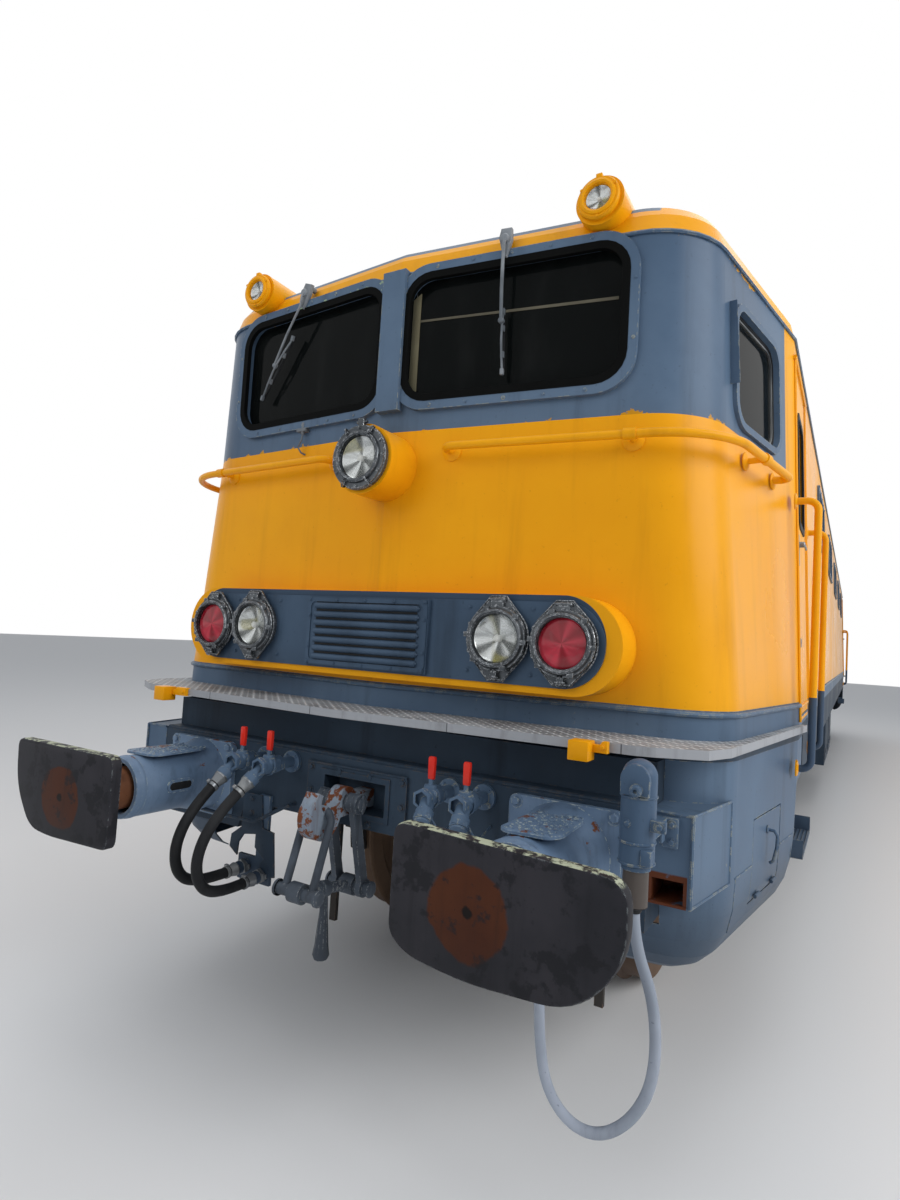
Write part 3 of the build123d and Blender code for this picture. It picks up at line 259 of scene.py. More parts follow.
# Masks: each gives 1 where its colour or wear shows
def band(t, axis, low, high, soft=0.002):
    """1 where the absolute coordinate lies between two values."""
    v = abs(t.at(axis))
    return v.ramp(low - soft, low) * v.ramp(high, high + soft, 1.0, 0.0)


def radius(x, z):
    square = x * x + z * z
    return square.calc("SQRT", square)


def behind_cab(t):
    """The part of the cab's upper side that is yellow, behind the slanted end of the dark band."""
    return abs(t.at("Y")).ramp(7.657, 7.659, 1.0, 0.0)


def panel_seams(t):
    """Upright joints between the side sheets, midway between the windows and at the cabs."""
    y = abs(t.at("Y"))
    seams = abs(y - 1.175).ramp(0.0015, 0.003, 0.8, 0.0)
    for place in (3.525, 5.875, 6.845):
        seams = seams.most(abs(y - place).ramp(0.0015, 0.003, 0.8, 0.0))
    return seams


def painted_top_highlight(t):
    """Painted highlight on the upward narrow sides, broken up by noise."""
    return t.facing("Z", 0.6, 0.8) * t.noise(26.0, 6, 0.7).ramp(0.46, 0.56)


def buffer_radius(t):
    return radius(abs(t.at("X")) - BUFFER_X, t.at("Z") - BUFFER_Z)


def rusty_centre(t):
    """A ragged patch in the middle of each buffer's face."""
    ragged = buffer_radius(t) + t.noise(9.0, 5, 0.6) * 0.05
    return ragged.ramp(0.136, 0.146, 1.0, 0.0) * abs(t.at("Y")).ramp(9.470, 9.474)


def hole_shade(t):
    """Painted shade for the small hole in the middle of each buffer's face."""
    return (buffer_radius(t) + t.noise(30.0, 5, 0.6) * 0.024).ramp(0.024, 0.032, 0.95, 0.0)


def scraped(t):
    """Dark greasy patches."""
    return t.noise(12.0, 7, 0.65).ramp(0.53, 0.60, 0.0, 0.75)


def casing_rust(t):
    """Rust patches of the upper side."""
    return t.noise(8.0, 7, 0.65).ramp(0.60, 0.62) * t.facing("Z", 0.2, 0.5)


def hook_part(t):
    """The draw hook, in the middle above the coupling's links."""
    return abs(t.at("X")).ramp(0.034, 0.036, 1.0, 0.0) * t.at("Z").ramp(0.99, 1.0)


def hook_rust(t):
    """Ragged rust patches of the draw hook."""
    return t.noise(16.0, 7, 0.65).ramp(0.52, 0.56) * hook_part(t)


def overspray(t):
    """Ragged yellow at the lower and upper border of the cab's dark band."""
    z = t.at("Z")
    ragged = t.noise(9.0, 7, 0.68) * 0.22
    return (ragged - (z - 2.6)).ramp(0.122, 0.126).most((ragged - (3.262 - z)).ramp(0.122, 0.126))


def roof_rim(t):
    """The top edge of the cornice over the windscreens."""
    return band(t, "Z", 3.372, 3.50) * band(t, "X", -0.01, 1.04, 0.01)


def band_face(t):
    """The front of the lamp band, with round ends, up to its top edge."""
    r = radius((abs(t.at("X")) - 0.826).most(0.0), t.at("Z") - 1.774)
    front = band(t, "Y", 8.798, 8.803, 0.001) * r.ramp(0.160, 0.161, 1.0, 0.0)
    return front * abs(t.at("Y", "Normal")).ramp(0.7, 0.8)


def low_rails(t):
    """The lower ends of the door rails, which are the colour of the plinth."""
    return band(t, "Z", 1.0, 1.60) * band(t, "X", 1.500, 1.60)


def box_mouth(t):
    """Rust in and round the opening of the step box."""
    place = band(t, "X", 1.158, 1.272) * band(t, "Y", 8.45, 8.83) * band(t, "Z", 0.970, 1.074, 0.006)
    return place * t.noise(18.0, 6, 0.6).ramp(0.38, 0.44)


def socket_pipe(t):
    """The bare pipe below the jumper socket."""
    return band(t, "X", 1.13, 1.23) * band(t, "Y", 8.99, 9.11) * band(t, "Z", 1.02, 1.147)


def painted_foot_shade(t):
    """Painted shade that deepens towards the foot of the aprons, where they curve under."""
    return (t.at("Z") + t.noise(5.0, 5) * 0.16).ramp(0.80, 1.18, 0.60, 0.0)


def green_wear(t):
    """Pale green primer that shows at the top of the window frames."""
    return band(t, "Z", 3.215, 3.262) * band(t, "X", 0.05, 0.62) * t.noise(11.0, 6, 0.65).ramp(0.56, 0.60)


def dried_drips(t):
    """A few narrow dried runs on the glass."""
    runs = t.noise(34.0, 4, 0.6, (1.0, 1.0, 0.07)).ramp(0.70, 0.74)
    return runs * t.noise(5.0, 2).ramp(0.56, 0.62, 0.0, 0.6)


YELLOW_TONES = ((230, 156, 12), (148, 92, 14), (238, 166, 20))
BLUE_TONES = ((72, 92, 115), (36, 44, 55), (92, 112, 134))
YELLOW = paint("yellow_paint", "yellow_paint", YELLOW_TONES, 0.32, 0.22, seams=panel_seams)
BLUE_GREY = paint("blue_grey", "blue_grey_paint", BLUE_TONES, 0.42, 0.4, chips=(126, 128, 122),
                  edge=(150, 152, 140))
CAB_BAND = paint("cab_band", "blue_grey_paint", BLUE_TONES, 0.34, 0.35, second=YELLOW_TONES, where=behind_cab)
ROOF_GREY = paint("roof_grey", "roof_grey_paint", ((92, 102, 112), (45, 48, 52), (118, 126, 132)), 0.6, 0.5)
# dark grey with its tones darkened further: partly the real dark paint, partly painted shade of the beam and
# underframe
DARK_GREY_SHADED = paint("dark_grey", "dark_grey_paint", ((42, 54, 67), (22, 26, 32), (56, 70, 85)), 0.5, 0.5,
                  chips=(72, 56, 46), edge=(84, 78, 74))
RUNNING = paint("running_gear", "running_gear", ((44, 44, 46), (20, 19, 18), (70, 66, 62)), 0.6, 0.6,
                chips=(104, 72, 54), edge=(120, 96, 78))
WHEEL = paint("wheel", "wheel_steel", ((84, 66, 54), (38, 32, 28), (118, 96, 78)), 0.55, 0.5,
              chips=(120, 78, 50))
RED = paint("red_handle", "red_handle", ((205, 34, 24), (96, 20, 16), (222, 52, 36)), 0.32, 0.3, 4.0,
            coat=0.3)
SEAL = paint("seal", "black_rubber", ((11, 12, 12), (7, 7, 7), (16, 17, 17)), 0.7, 0.3, 4.0, specular=0.04)
RUBBER = paint("rubber", "black_rubber", ((26, 27, 29), (12, 12, 12), (44, 45, 47)), 0.55, 0.4, 4.0)
LAMP_METAL = paint("lamp_metal", "lamp_metal", ((74, 78, 82), (34, 36, 38), (98, 102, 106)), 0.3, 0.5, 4.0,
                   chips=(52, 50, 48), edge=(186, 190, 194), metal=0.8)
STEEL = paint("steel", "lamp_metal", ((118, 122, 126), (56, 56, 58), (150, 152, 152)), 0.42, 0.5, 4.0,
              chips=(96, 80, 66), metal=0.8)
WIPER_METAL = paint("wiper", "lamp_metal", ((98, 104, 110), (44, 46, 50), (140, 145, 150)), 0.4, 0.4, 4.0,
                    chips=(92, 80, 70))
COPPER = paint("strip", "panto_metal", ((96, 66, 48), (40, 34, 30), (150, 104, 76)), 0.3, 0.4, 4.0, metal=0.8)
CERAMIC = paint("ceramic", "ceramic", ((112, 66, 40), (60, 34, 22), (140, 88, 56)), 0.18, 0.3, 4.0, coat=0.4)
PANTO = paint("panto", "panto_metal", ((132, 62, 38), (60, 30, 20), (156, 84, 52)), 0.5, 0.4)
# a darker copy of the blue-grey paint for the lamp panel: painted shade
SHADED_PANEL = paint("panel", "blue_grey_paint", ((54, 70, 88), (30, 38, 48), (70, 88, 108)), 0.38, 0.4)
CHANNEL = paint("channel", "lamp_metal", ((112, 106, 84), (62, 60, 52), (140, 134, 108)), 0.5, 0.4, 3.0)
BAR = paint("bar", "lamp_metal", ((84, 80, 68), (56, 54, 48), (100, 96, 82)), 0.6, 0.4, 3.0)
CABLE = paint("cable", "cable_sheath", ((138, 146, 158), (72, 74, 80), (170, 177, 190)), 0.6, 0.6, 1.6,
              chips=(26, 27, 30))
BUFFER = paint("buffer", "buffer_steel", ((31, 32, 37), (17, 17, 20), (48, 47, 52)), 0.5, 0.5, 2.0,
               chips=(50, 42, 40), edge=(104, 110, 112),
               second=((58, 28, 16), (28, 20, 17), (74, 40, 23)), where=rusty_centre)
PLUNGER = paint("plunger", "buffer_steel", ((86, 54, 38), (40, 32, 28), (116, 76, 52)), 0.5, 0.5, 2.0,
                chips=(30, 28, 28))
CASING = paint("casing", "blue_grey_paint", ((92, 113, 138), (50, 60, 72), (120, 141, 166)), 0.4, 0.45, 2.0,
               chips=(150, 164, 140), edge=(170, 180, 176))
DRAW_GEAR = paint("draw_gear", "running_gear", ((58, 64, 72), (30, 31, 33), (84, 92, 102)), 0.45, 0.5, 3.0,
                  chips=(112, 68, 46), edge=(140, 144, 146),
                  second=((118, 130, 144), (84, 52, 36), (142, 154, 166)), where=hook_part)


def glass_look(name, slot, colour, alpha, rough=0.05):
    t = Look(name, slot)
    film = t.noise(6.0, 5, 0.6, (1, 1, 0.3))
    t.set("Base Color", t.mix(film.ramp(0.45, 0.8, 0.0, 0.6), colour, tuple(c + 0.010 for c in colour)))
    t.set("Roughness", film.ramp(0.4, 0.8, rough, rough + 0.2))
    t.set("Alpha", alpha)
    return t


# near-black, nearly opaque glass: the dark cab behind each pane is painted into it as shade
WINDOW = glass_look("window_glass_look", "window_glass", (0.004, 0.005, 0.005), 0.96)
WINDOW.set("Specular IOR Level", 0.04)
BULB = glass_look("bulb_look", "clear_lens", (0.90, 0.90, 0.84), 1.0, 0.1)


def wedges(t, scale):
    """Pattern of sectors round the axis of a lamp, from the direction its surface faces."""
    flat = t.node("VectorMath", "Vector", {0: t.point("Normal"), 1: (1, 0, 1)}, "MULTIPLY")
    unit = t.node("VectorMath", "Vector", {0: flat}, "NORMALIZE")
    return t.noise(scale, 1, 0.5, vector=unit)


def lens_look(name, slot, colour, highlight_tone, alpha):
    """Moulded lamp glass with painted highlights in brighter sectors, and paler blotches."""
    t = Look(name, slot)
    sector_highlights = t.mix(wedges(t, 1.2).ramp(0.40, 0.72), colour, highlight_tone)
    pale = tuple(0.72 * c + 0.22 * max(colour) for c in colour)
    t.set("Base Color", t.mix(t.noise(30.0, 4).ramp(0.50, 0.75, 0.0, 0.4), sector_highlights, pale))
    t.set("Roughness", 0.08)
    t.set("Alpha", alpha)
    t.bump(t.noise(60.0, 1), 0.2)
    return t


# both lenses carry painted highlights in their brighter sectors
CLEAR = lens_look("clear_lens_look", "clear_lens", (0.42, 0.44, 0.42), (0.70, 0.72, 0.70), 0.14)
RED_LENS = lens_look("red_lens_look", "red_lens", (0.26, 0.006, 0.016), (0.62, 0.04, 0.07), 0.88)


def reflector_look():
    """Silver with painted highlights and painted dark patches in sectors round the lamp's axis, and a painted
    yellow reflection in places.
    """
    t = Look("reflector_look", "lamp_metal")
    # bright and dark sectors: painted highlights and painted dark patches
    silver_with_glints = t.mix(wedges(t, 1.3).ramp(0.40, 0.60), srgb(70, 73, 72), srgb(226, 230, 230))
    # yellow spots: painted reflection of the yellow housing
    yellow_reflection = t.noise(11.0, 0).ramp(0.60, 0.68, 0.0, 0.6)
    t.set("Base Color", t.mix(yellow_reflection, silver_with_glints, srgb(150, 140, 20)))
    t.set("Metallic", 1.0)
    t.set("Roughness", 0.22)
    t.bump(t.noise(90.0, 2), 0.35)
    return t


REFLECTOR = reflector_look()


def tread_plate():
    """Pale chequer plate: slanted raised studs in a crossed pattern, dirt between them."""
    t = Look("tread_plate_look", "tread_plate")
    pitch = 0.036
    x, y = t.at("X"), t.at("Y")
    studs = []
    for sign, shift in ((1.0, 0.0), (-1.0, 0.5)):
        along = ((x + y * sign) / (pitch * 2) + shift).zigzag(0.5)
        across = ((x - y * sign) / pitch + shift).zigzag(0.5)
        studs.append(along.ramp(0.30, 0.44) * across.ramp(0.30, 0.44))
    raised = studs[0].most(studs[1])
    low = t.mix(t.noise(5.0, 5).ramp(0.35, 0.7), srgb(142, 146, 150), srgb(104, 106, 109))
    col = t.mix(raised, low, srgb(220, 223, 226))
    col = t.mix(t.noise(24.0, 6, 0.7).ramp(0.64, 0.72, 0.0, 0.8), col, srgb(58, 60, 64))
    streak = t.noise(14.0, 6, 0.65, (1, 1, 0.2)).ramp(0.5, 0.85)
    edge = t.mix(streak, srgb(150, 153, 158), srgb(112, 113, 114))
    joints = (t.at("X") + 0.115).zigzag(0.30).ramp(0.0015, 0.003, 0.8, 0.0)
    top = t.facing("Z", 0.5, 0.6)
    t.set("Base Color", t.mix(top, t.mix(joints, edge, srgb(60, 62, 66)), col))
    t.set("Roughness", 0.6)
    t.bump(raised * top, 0.9, 0.003)
    return t


TREAD = tread_plate()
BUFFER.overlay(scraped, (24, 25, 29))
# painted shade standing in for the hole in each buffer's face
BUFFER.overlay(hole_shade, (9, 9, 10))
# painted highlight along the upward sides of the buffer plates
BUFFER.overlay(painted_top_highlight, (166, 172, 150))
CASING.overlay(casing_rust, (104, 62, 40))
DRAW_GEAR.overlay(hook_rust, (104, 60, 38))
CAB_BAND.overlay(overspray, (196, 140, 30))
# painted shade, darkening the aprons towards their foot
BLUE_GREY.overlay(painted_foot_shade, (46, 51, 58))
BLUE_GREY.overlay(box_mouth, (92, 50, 32))
BLUE_GREY.overlay(socket_pipe, (84, 78, 74))
BLUE_GREY.overlay(green_wear, (146, 166, 138))
WINDOW.overlay(dried_drips, (150, 152, 148))
YELLOW.overlay(low_rails, (62, 78, 98))
CORNICE = Look("cornice_look", "yellow_paint", YELLOW)
CORNICE.overlay(roof_rim, (96, 112, 130))
HOUSING = Look("housing_look", "yellow_paint", YELLOW)
# blue of the lamp band's front, in the panel's darker tone: painted shade
HOUSING.overlay(band_face, (54, 70, 88))

LOOKS = (YELLOW, BLUE_GREY, ROOF_GREY, DARK_GREY_SHADED, TREAD, RUNNING, WHEEL, BUFFER, LAMP_METAL, CLEAR, RED_LENS,
         WINDOW, RUBBER, RED, CABLE, CERAMIC, PANTO)
SLOT_LOOK = {look.slot: look for look in LOOKS}
NODE_LOOK = {"cabs": CAB_BAND, "lamp_panels": SHADED_PANEL, "draw_gear": DRAW_GEAR, "cornice": CORNICE,
             "lamp_housings": HOUSING}
slots = {row["node"]: row["material_slot"] for row in frame["record"]["subparts"]}
for node, obj in frame["nodes"].items():
    look = NODE_LOOK.get(node) or SLOT_LOOK[slots[node]]
    for slot in obj.material_slots:
        slot.material = look.material


# Cords: each follows the route of its CAD tube
def cord_curve(name, points, diameter, node, look):
    cu = bpy.data.curves.new(name, "CURVE")
    cu.dimensions = "3D"
    cu.bevel_depth = diameter / 2
    cu.bevel_resolution = 5
    cu.use_fill_caps = True
    sp = cu.splines.new("NURBS")
    sp.points.add(len(points) - 1)
    for p, co in zip(sp.points, points):
        p.co = (*co, 1)
    sp.order_u = 3
    sp.use_endpoint_u = True
    sp.resolution_u = 12
    cu.materials.append(look.material)
    ob = link_object(name, cu)
    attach(ob, "body")
    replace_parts(ob, node)


HOSE_A = [(-0.518, -9.020, 1.149), (-0.538, -9.140, 1.044), (-0.556, -9.203, 0.890), (-0.568, -9.150, 0.757),
          (-0.566, -9.010, 0.721), (-0.556, -8.869, 0.733)]
HOSE_B = [(-0.368, -9.020, 1.149), (-0.400, -9.140, 1.040), (-0.430, -9.205, 0.880), (-0.448, -9.150, 0.740),
          (-0.455, -9.010, 0.700), (-0.455, -8.869, 0.712)]
JUMPER = [(1.180, -9.050, 1.049), (1.180, -9.050, 0.957), (1.250, -9.050, 0.795), (1.256, -9.048, 0.600),
          (1.200, -9.045, 0.470), (1.110, -9.043, 0.389), (1.015, -9.040, 0.389), (0.940, -9.037, 0.462),
          (0.912, -9.034, 0.590), (0.905, -9.032, 0.715), (0.865, -9.030, 0.805), (0.865, -9.030, 0.884)]
cord_curve("hose_a", HOSE_A, 0.043, "brake_hose_a", RUBBER)
cord_curve("hose_b", HOSE_B, 0.043, "brake_hose_b", RUBBER)
cord_curve("jumper", JUMPER, 0.032, "jumper_cable", CABLE)


def axes_at(place, z_dir, x_hint=UP):
    """Frame at a place whose z runs along a direction and whose x is near the hint."""
    z = Vector(z_dir).normalized()
    x = Vector(x_hint)
    if abs(z.dot(x.normalized())) > 0.95:
        x = Vector(RIGHT if abs(z.x) < 0.9 else BACK)
    y = z.cross(x).normalized()
    x = y.cross(z)
    return Matrix(((x.x, y.x, z.x, place[0]), (x.y, y.y, z.y, place[1]), (x.z, y.z, z.z, place[2]),
                   (0, 0, 0, 1)))


class Kit:
    """Small solids gathered into one mesh."""

    def __init__(self):
        self.bm = bmesh.new()

    def loop(self, points, matrix=Matrix()):
        return [self.bm.verts.new(matrix @ Vector(p)) for p in points]

    def skin(self, rows, closed=False):
        """Quads between neighbouring closed rows of points; closed joins the last row to the first."""
        pairs = list(zip(rows, rows[1:]))
        if closed:
            pairs.append((rows[-1], rows[0]))
        for a, b in pairs:
            count = max(len(a), len(b))
            for k in range(count):
                quad = [a[k % len(a)], a[(k + 1) % len(a)], b[(k + 1) % len(b)], b[k % len(b)]]
                corners = [v for i, v in enumerate(quad) if v not in quad[:i]]
                if len(corners) > 2:
                    self.bm.faces.new(corners)

    def box(self, lo, hi, bevel=0.003, matrix=Matrix()):
        mid = (Vector(lo) + Vector(hi)) / 2
        size = [abs(b - a) for a, b in zip(lo, hi)]
        m = matrix @ Matrix.Translation(mid) @ Matrix.Diagonal((*size, 1))
        made = bmesh.ops.create_cube(self.bm, size=1, matrix=m)
        if bevel:
            edges = {e for v in made["verts"] for e in v.link_edges}
            bmesh.ops.bevel(self.bm, geom=list(edges), offset=min(bevel, min(size) / 3), segments=2,
                            affect="EDGES", profile=0.5)

    def lathe(self, profile, place, axis=FRONT, seg=24, ring=False):
        """Turned form from (radius, height) rows; ring closes the profile on itself."""
        m = axes_at(place, axis)
        rows = []
        for r, h in profile:
            angles = [2 * pi * k / seg for k in range(1 if r < 1e-6 else seg)]
            rows.append(self.loop([(r * cos(a), r * sin(a), h) for a in angles], m))
        self.skin(rows, ring)

    def rod(self, p, q, r, seg=12, end=0.15):
        """Round bar with slightly rounded ends."""
        d = Vector(q) - Vector(p)
        h, e = d.length, r * end
        self.lathe([(0, 0), (r - e, 0), (r, e), (r, h - e), (r - e, h), (0, h)], p, d, seg)

    def bolt(self, p, r=0.011, n=FRONT):
        """Hexagon head on a washer."""
        self.lathe([(0, 0.002), (r * 1.5, 0.002), (r * 1.5, 0)], p, n, 12)
        self.lathe([(0, 0.9 * r), (r * 0.8, 0.9 * r), (r, 0.7 * r), (r, 0.001)], p, n, 6)

    def boss(self, p, n, r, shoulder, r_top, top, seg=18):
        """Round boss with a chamfered top."""
        self.lathe([(r, 0), (r, shoulder), (r_top, top), (0, top)], p, n, seg)

    def prism(self, outline, place, depth, bevel=0.0, normal=FRONT, x_hint=RIGHT):
        """Flat plate: outline in its plane, drawn out along the normal."""
        m = axes_at(place, normal, x_hint)
        face = self.bm.faces.new(self.loop([(x, y, 0) for x, y in outline], m))
        out = bmesh.ops.extrude_face_region(self.bm, geom=[face])
        top = [g for g in out["geom"] if isinstance(g, bmesh.types.BMVert)]
        bmesh.ops.translate(self.bm, vec=m.to_3x3() @ Vector((0, 0, depth)), verts=top)
        if bevel:
            cap = [g for g in out["geom"] if isinstance(g, bmesh.types.BMFace)]
            edges = list({e for f in cap for e in f.edges})
            bmesh.ops.bevel(self.bm, geom=edges, offset=bevel, segments=2, affect="EDGES", profile=0.5)

    def sheet(self, corners, thick):
        """Flat sheet from its corners and its thickness as a vector."""
        rows = [self.loop(corners), self.loop([p + thick for p in corners])]
        for row in rows:
            self.bm.faces.new(row)
        self.skin(rows)

    def frame(self, outer, inner, place, depth, normal=FRONT, x_hint=RIGHT):
        """Flat ring between two outlines of as many points."""
        m = axes_at(place, normal, x_hint)
        rows = ((outer, 0), (outer, depth), (inner, depth), (inner, 0))
        self.skin([self.loop([(x, y, h) for x, y in outline], m) for outline, h in rows], True)

    def rim(self, w, h, r, width, place, depth, normal=FRONT, x_hint=RIGHT, inner_r=None):
        """Flat ring of one width, with round corners."""
        hole = rounded(w - 2 * width, h - 2 * width, inner_r or r - width)
        self.frame(rounded(w, h, r), hole, place, depth, normal, x_hint)

    def sweep(self, points, r, seg=6, closed=False, flat=1.0):
        """Bar of round or flattened section along a line of points."""
        pts = [Vector(p) for p in points]
        n = len(pts)
        rows = []
        side = None
        for i, p in enumerate(pts):
            a = pts[(i - 1) % n] if closed or i else p
            b = pts[(i + 1) % n] if closed or i < n - 1 else p
            t = (b - a).normalized()
            if side is None:
                side = t.cross(Vector(UP))
                if side.length < 0.1:
                    side = t.cross(Vector(RIGHT))
            side = (side - t * side.dot(t)).normalized()
            top = side.cross(t)
            angles = [2 * pi * k / seg for k in range(seg)]
            rows.append(self.loop([p + (side * cos(a) * flat + top * sin(a)) * r for a in angles]))
        self.skin(rows, closed)
        if not closed:
            self.bm.faces.new(rows[0])
            self.bm.faces.new(rows[-1])

    def coil(self, base, height, r, wire, turns, axis=UP):
        m = axes_at(base, axis)
        steps = int(turns * 14)
        pts = []
        for k in range(steps + 1):
            a = 2 * pi * turns * k / steps
            pts.append(m @ Vector((r * cos(a), r * sin(a), height * k / steps)))
        self.sweep(pts, wire)

    def done(self, name, look, body="body", ends=True, angle=35):
        """Makes the piece; ends repeats it at the locomotive's other end."""
        bm = self.bm
        if ends:
            both = bmesh.ops.duplicate(bm, geom=bm.verts[:] + bm.edges[:] + bm.faces[:])
            verts = [g for g in both["geom"] if isinstance(g, bmesh.types.BMVert)]
            bmesh.ops.transform(bm, matrix=TURN, verts=verts)
        bmesh.ops.recalc_face_normals(bm, faces=bm.faces)
        me = bpy.data.meshes.new(name)
        bm.to_mesh(me)
        bm.free()
        me.shade_smooth()
        me.set_sharp_from_angle(angle=radians(angle))
        me.materials.append(look.material)
        ob = link_object(name, me)
        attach(ob, body)
        return ob


def rounded(w, h, r, n=6):
    """Outline of a rectangle with round corners, about its centre."""
    pts = []
    for sx, sy, start in ((1, 1, 0), (-1, 1, 90), (-1, -1, 180), (1, -1, 270)):
        for k in range(n + 1):
            a = radians(start + 90 * k / n)
            pts.append((sx * (w / 2 - r) + r * cos(a), sy * (h / 2 - r) + r * sin(a)))
    return pts


def soft_corners(rows, steps=6):
    """Outline of a polygon given as x, y and how far from each corner its curve starts."""
    pts = []
    for i, (x, y, d) in enumerate(rows):
        v = Vector((x, y))
        a = v + (Vector(rows[i - 1][:2]) - v).normalized() * d
        b = v + (Vector(rows[(i + 1) % len(rows)][:2]) - v).normalized() * d
        for k in range(steps + 1):
            t = k / steps
            p = a * (1 - t) ** 2 + v * 2 * t * (1 - t) + b * t * t
            pts.append((p.x, p.y))
    return pts


def around(centre, r, degrees, turn=0.0):
    """Points on an upright circle that faces forward, at angles in degrees plus a turn in radians."""
    x, y, z = centre
    angles = [radians(d) + turn for d in degrees]
    return [Vector((x + r * cos(a), y, z + r * sin(a))) for a in angles]


def face_point(x, z, out=0.0):
    """Point on the nose's flat face, or in front of it."""
    return Vector((x, -NOSE_Y + FACE_SLOPE * abs(x) - out, z))


def face_normal(side):
    return Vector((copysign(FACE_SLOPE, side), -1, 0)).normalized()


# Body sections of the CAD: height, half width, corner point x, corner radius, nose y
PLINTH = (1.570, 1.485, 1.330, 0.240, 8.740)
BELT = (2.600, 1.442, 1.230, 0.300, 8.740)
CORNICE_LINE = (3.280, 1.415, 1.200, 0.300, 8.740)
TAPER_Y = 7.5


def section(z):
    """Half width, corner point x, corner radius and nose y of the body at a height."""
    low, high = (PLINTH, BELT) if z < BELT[0] else (BELT, CORNICE_LINE)
    f = (z - low[0]) / (high[0] - low[0])
    return [a + (b - a) * f for a, b in zip(low[1:], high[1:])]


def side_x(z):
    """Half width of the straight side at a height."""
    return section(z)[0]


def cab_wall(y, z):
    """Half width of the tapered cab wall."""
    half, corner_x, _, nose = section(z)
    corner_y = nose - FACE_SLOPE * corner_x
    return half + (corner_x - half) * (-TAPER_Y - y) / (corner_y - TAPER_Y)


def nose_line(z, out, steps=7):
    """Line round the nose at a height, from the right side's taper to the left's."""
    half, bx, r, nose = section(z)
    a = Vector((0, -nose))
    b = Vector((bx, -nose + FACE_SLOPE * bx))
    c = Vector((half, -TAPER_Y))
    u, v = (a - b).normalized(), (c - b).normalized()
    half_angle = acos(u.dot(v)) / 2
    t = r / tan(half_angle)
    centre = b + (u + v).normalized() * (r / sin(half_angle))
    p0, p1 = b + v * t - centre, b + u * t - centre
    a0, a1 = atan2(p0.y, p0.x), atan2(p1.y, p1.x)
    right = [Vector((half + out, -6.9)), Vector((half + out, -TAPER_Y))]
    for k in range(steps + 1):
        angle = a0 + (a1 - a0) * k / steps
        right.append(centre + Vector((cos(angle), sin(angle))) * (r + out))
    left = [Vector((-p.x, p.y)) for p in reversed(right)]
    return [(p.x, p.y, z) for p in right + [a + Vector((0, -out))] + left]


# Lamps: x, z and how far the ears reach from the middle
LAMP_FRONT = -8.850
LOWER_LAMPS = ((0.598, 1.773, 0.150), (-0.598, 1.773, 0.150), (0.847, 1.768, 0.144), (-0.847, 1.768, 0.144))
# x, y of the lens's front, z, lens radius, depth behind the lens
ROOF_BOWLS = ((0.854, -8.722, 3.392, 0.047, 0.016), (-0.854, -8.722, 3.392, 0.047, 0.016))
CLEAR_BOWLS = ((0.598, -8.842, 1.773, 0.087, 0.029), (-0.598, -8.842, 1.773, 0.087, 0.029),
               (0.0, -8.927, 2.450, 0.084, 0.021), *ROOF_BOWLS)
RED_BOWLS = ((0.847, -8.842, 1.768, 0.087, 0.029), (-0.847, -8.842, 1.768, 0.087, 0.029))


def eared(tip, r, half=0.030, steps=16):
    """Round plate with a straight-sided ear above and below."""
    a0 = atan2(tip, half) - acos(r / hypot(half, tip))
    arc = [-a0 + 2 * a0 * k / steps for k in range(steps + 1)]
    right = [(r * cos(a), r * sin(a)) for a in arc]
    return right + [(half, tip), (-half, tip)] + [(-x, -y) for x, y in right] + [(-half, -tip), (half, -tip)]


# Rings round the lenses, as radius and height over the lamp's front
LOWER_RINGS = (
    ((0.089, -0.004), (0.090, 0.009), (0.096, 0.014), (0.103, 0.012), (0.108, 0.004), (0.108, -0.004)),
    ((0.115, -0.020), (0.1175, -0.014), (0.1175, -0.010), (0.115, -0.006), (0.112, -0.013)))
CENTRE_RINGS = (
    ((0.086, -0.004), (0.087, 0.008), (0.094, 0.013), (0.102, 0.010), (0.106, 0.0), (0.106, -0.006)),
    ((0.125, -0.028), (0.129, -0.024), (0.129, -0.010), (0.125, -0.006), (0.118, -0.017)))
ROOF_RINGS = (
    ((0.050, -0.002), (0.051, 0.005), (0.058, 0.009), (0.066, 0.006), (0.068, -0.002)),
    ((0.075, -0.020), (0.079, -0.016), (0.079, -0.006), (0.075, -0.002), (0.070, -0.011)))


def lower_lamp(k, x, z, tip):
    """Eared plate with hinge and clip, two rings, and bolts with a nub beside each."""
    plate = eared(tip, 0.121)
    hole = [(0.108 * px / hypot(px, py), 0.108 * py / hypot(px, py)) for px, py in plate]
    k.frame(plate, hole, (x, -8.822, z), 0.010)
    k.sweep([(x + px, -8.832, z + py) for px, py in plate], 0.0035, closed=True)
    k.box((x - 0.024, -8.846, z + tip - 0.046), (x + 0.024, -8.830, z + tip - 0.014))
    k.rod((x - 0.030, -8.842, z + tip - 0.012), (x + 0.030, -8.842, z + tip - 0.012), 0.006)
    k.box((x - 0.013, -8.850, z - tip + 0.006), (x + 0.013, -8.830, z - tip + 0.044))
    k.rod((x - 0.018, -8.846, z - tip + 0.012), (x + 0.018, -8.846, z - tip + 0.012), 0.005)
    for ring in LOWER_RINGS:
        k.lathe(ring, (x, LAMP_FRONT, z), seg=40, ring=True)
    bolts = (25, 90, 155, 205, 270, 335)
    for p in around((x, -8.848, z), 0.1135, bolts):
        k.bolt(p, 0.005)
    for p in around((x, -8.851, z), 0.111, bolts, 0.35):
        k.box((-0.009, -0.012, 0), (0.009, 0.012, 0.008), 0.002, axes_at(p, FRONT))


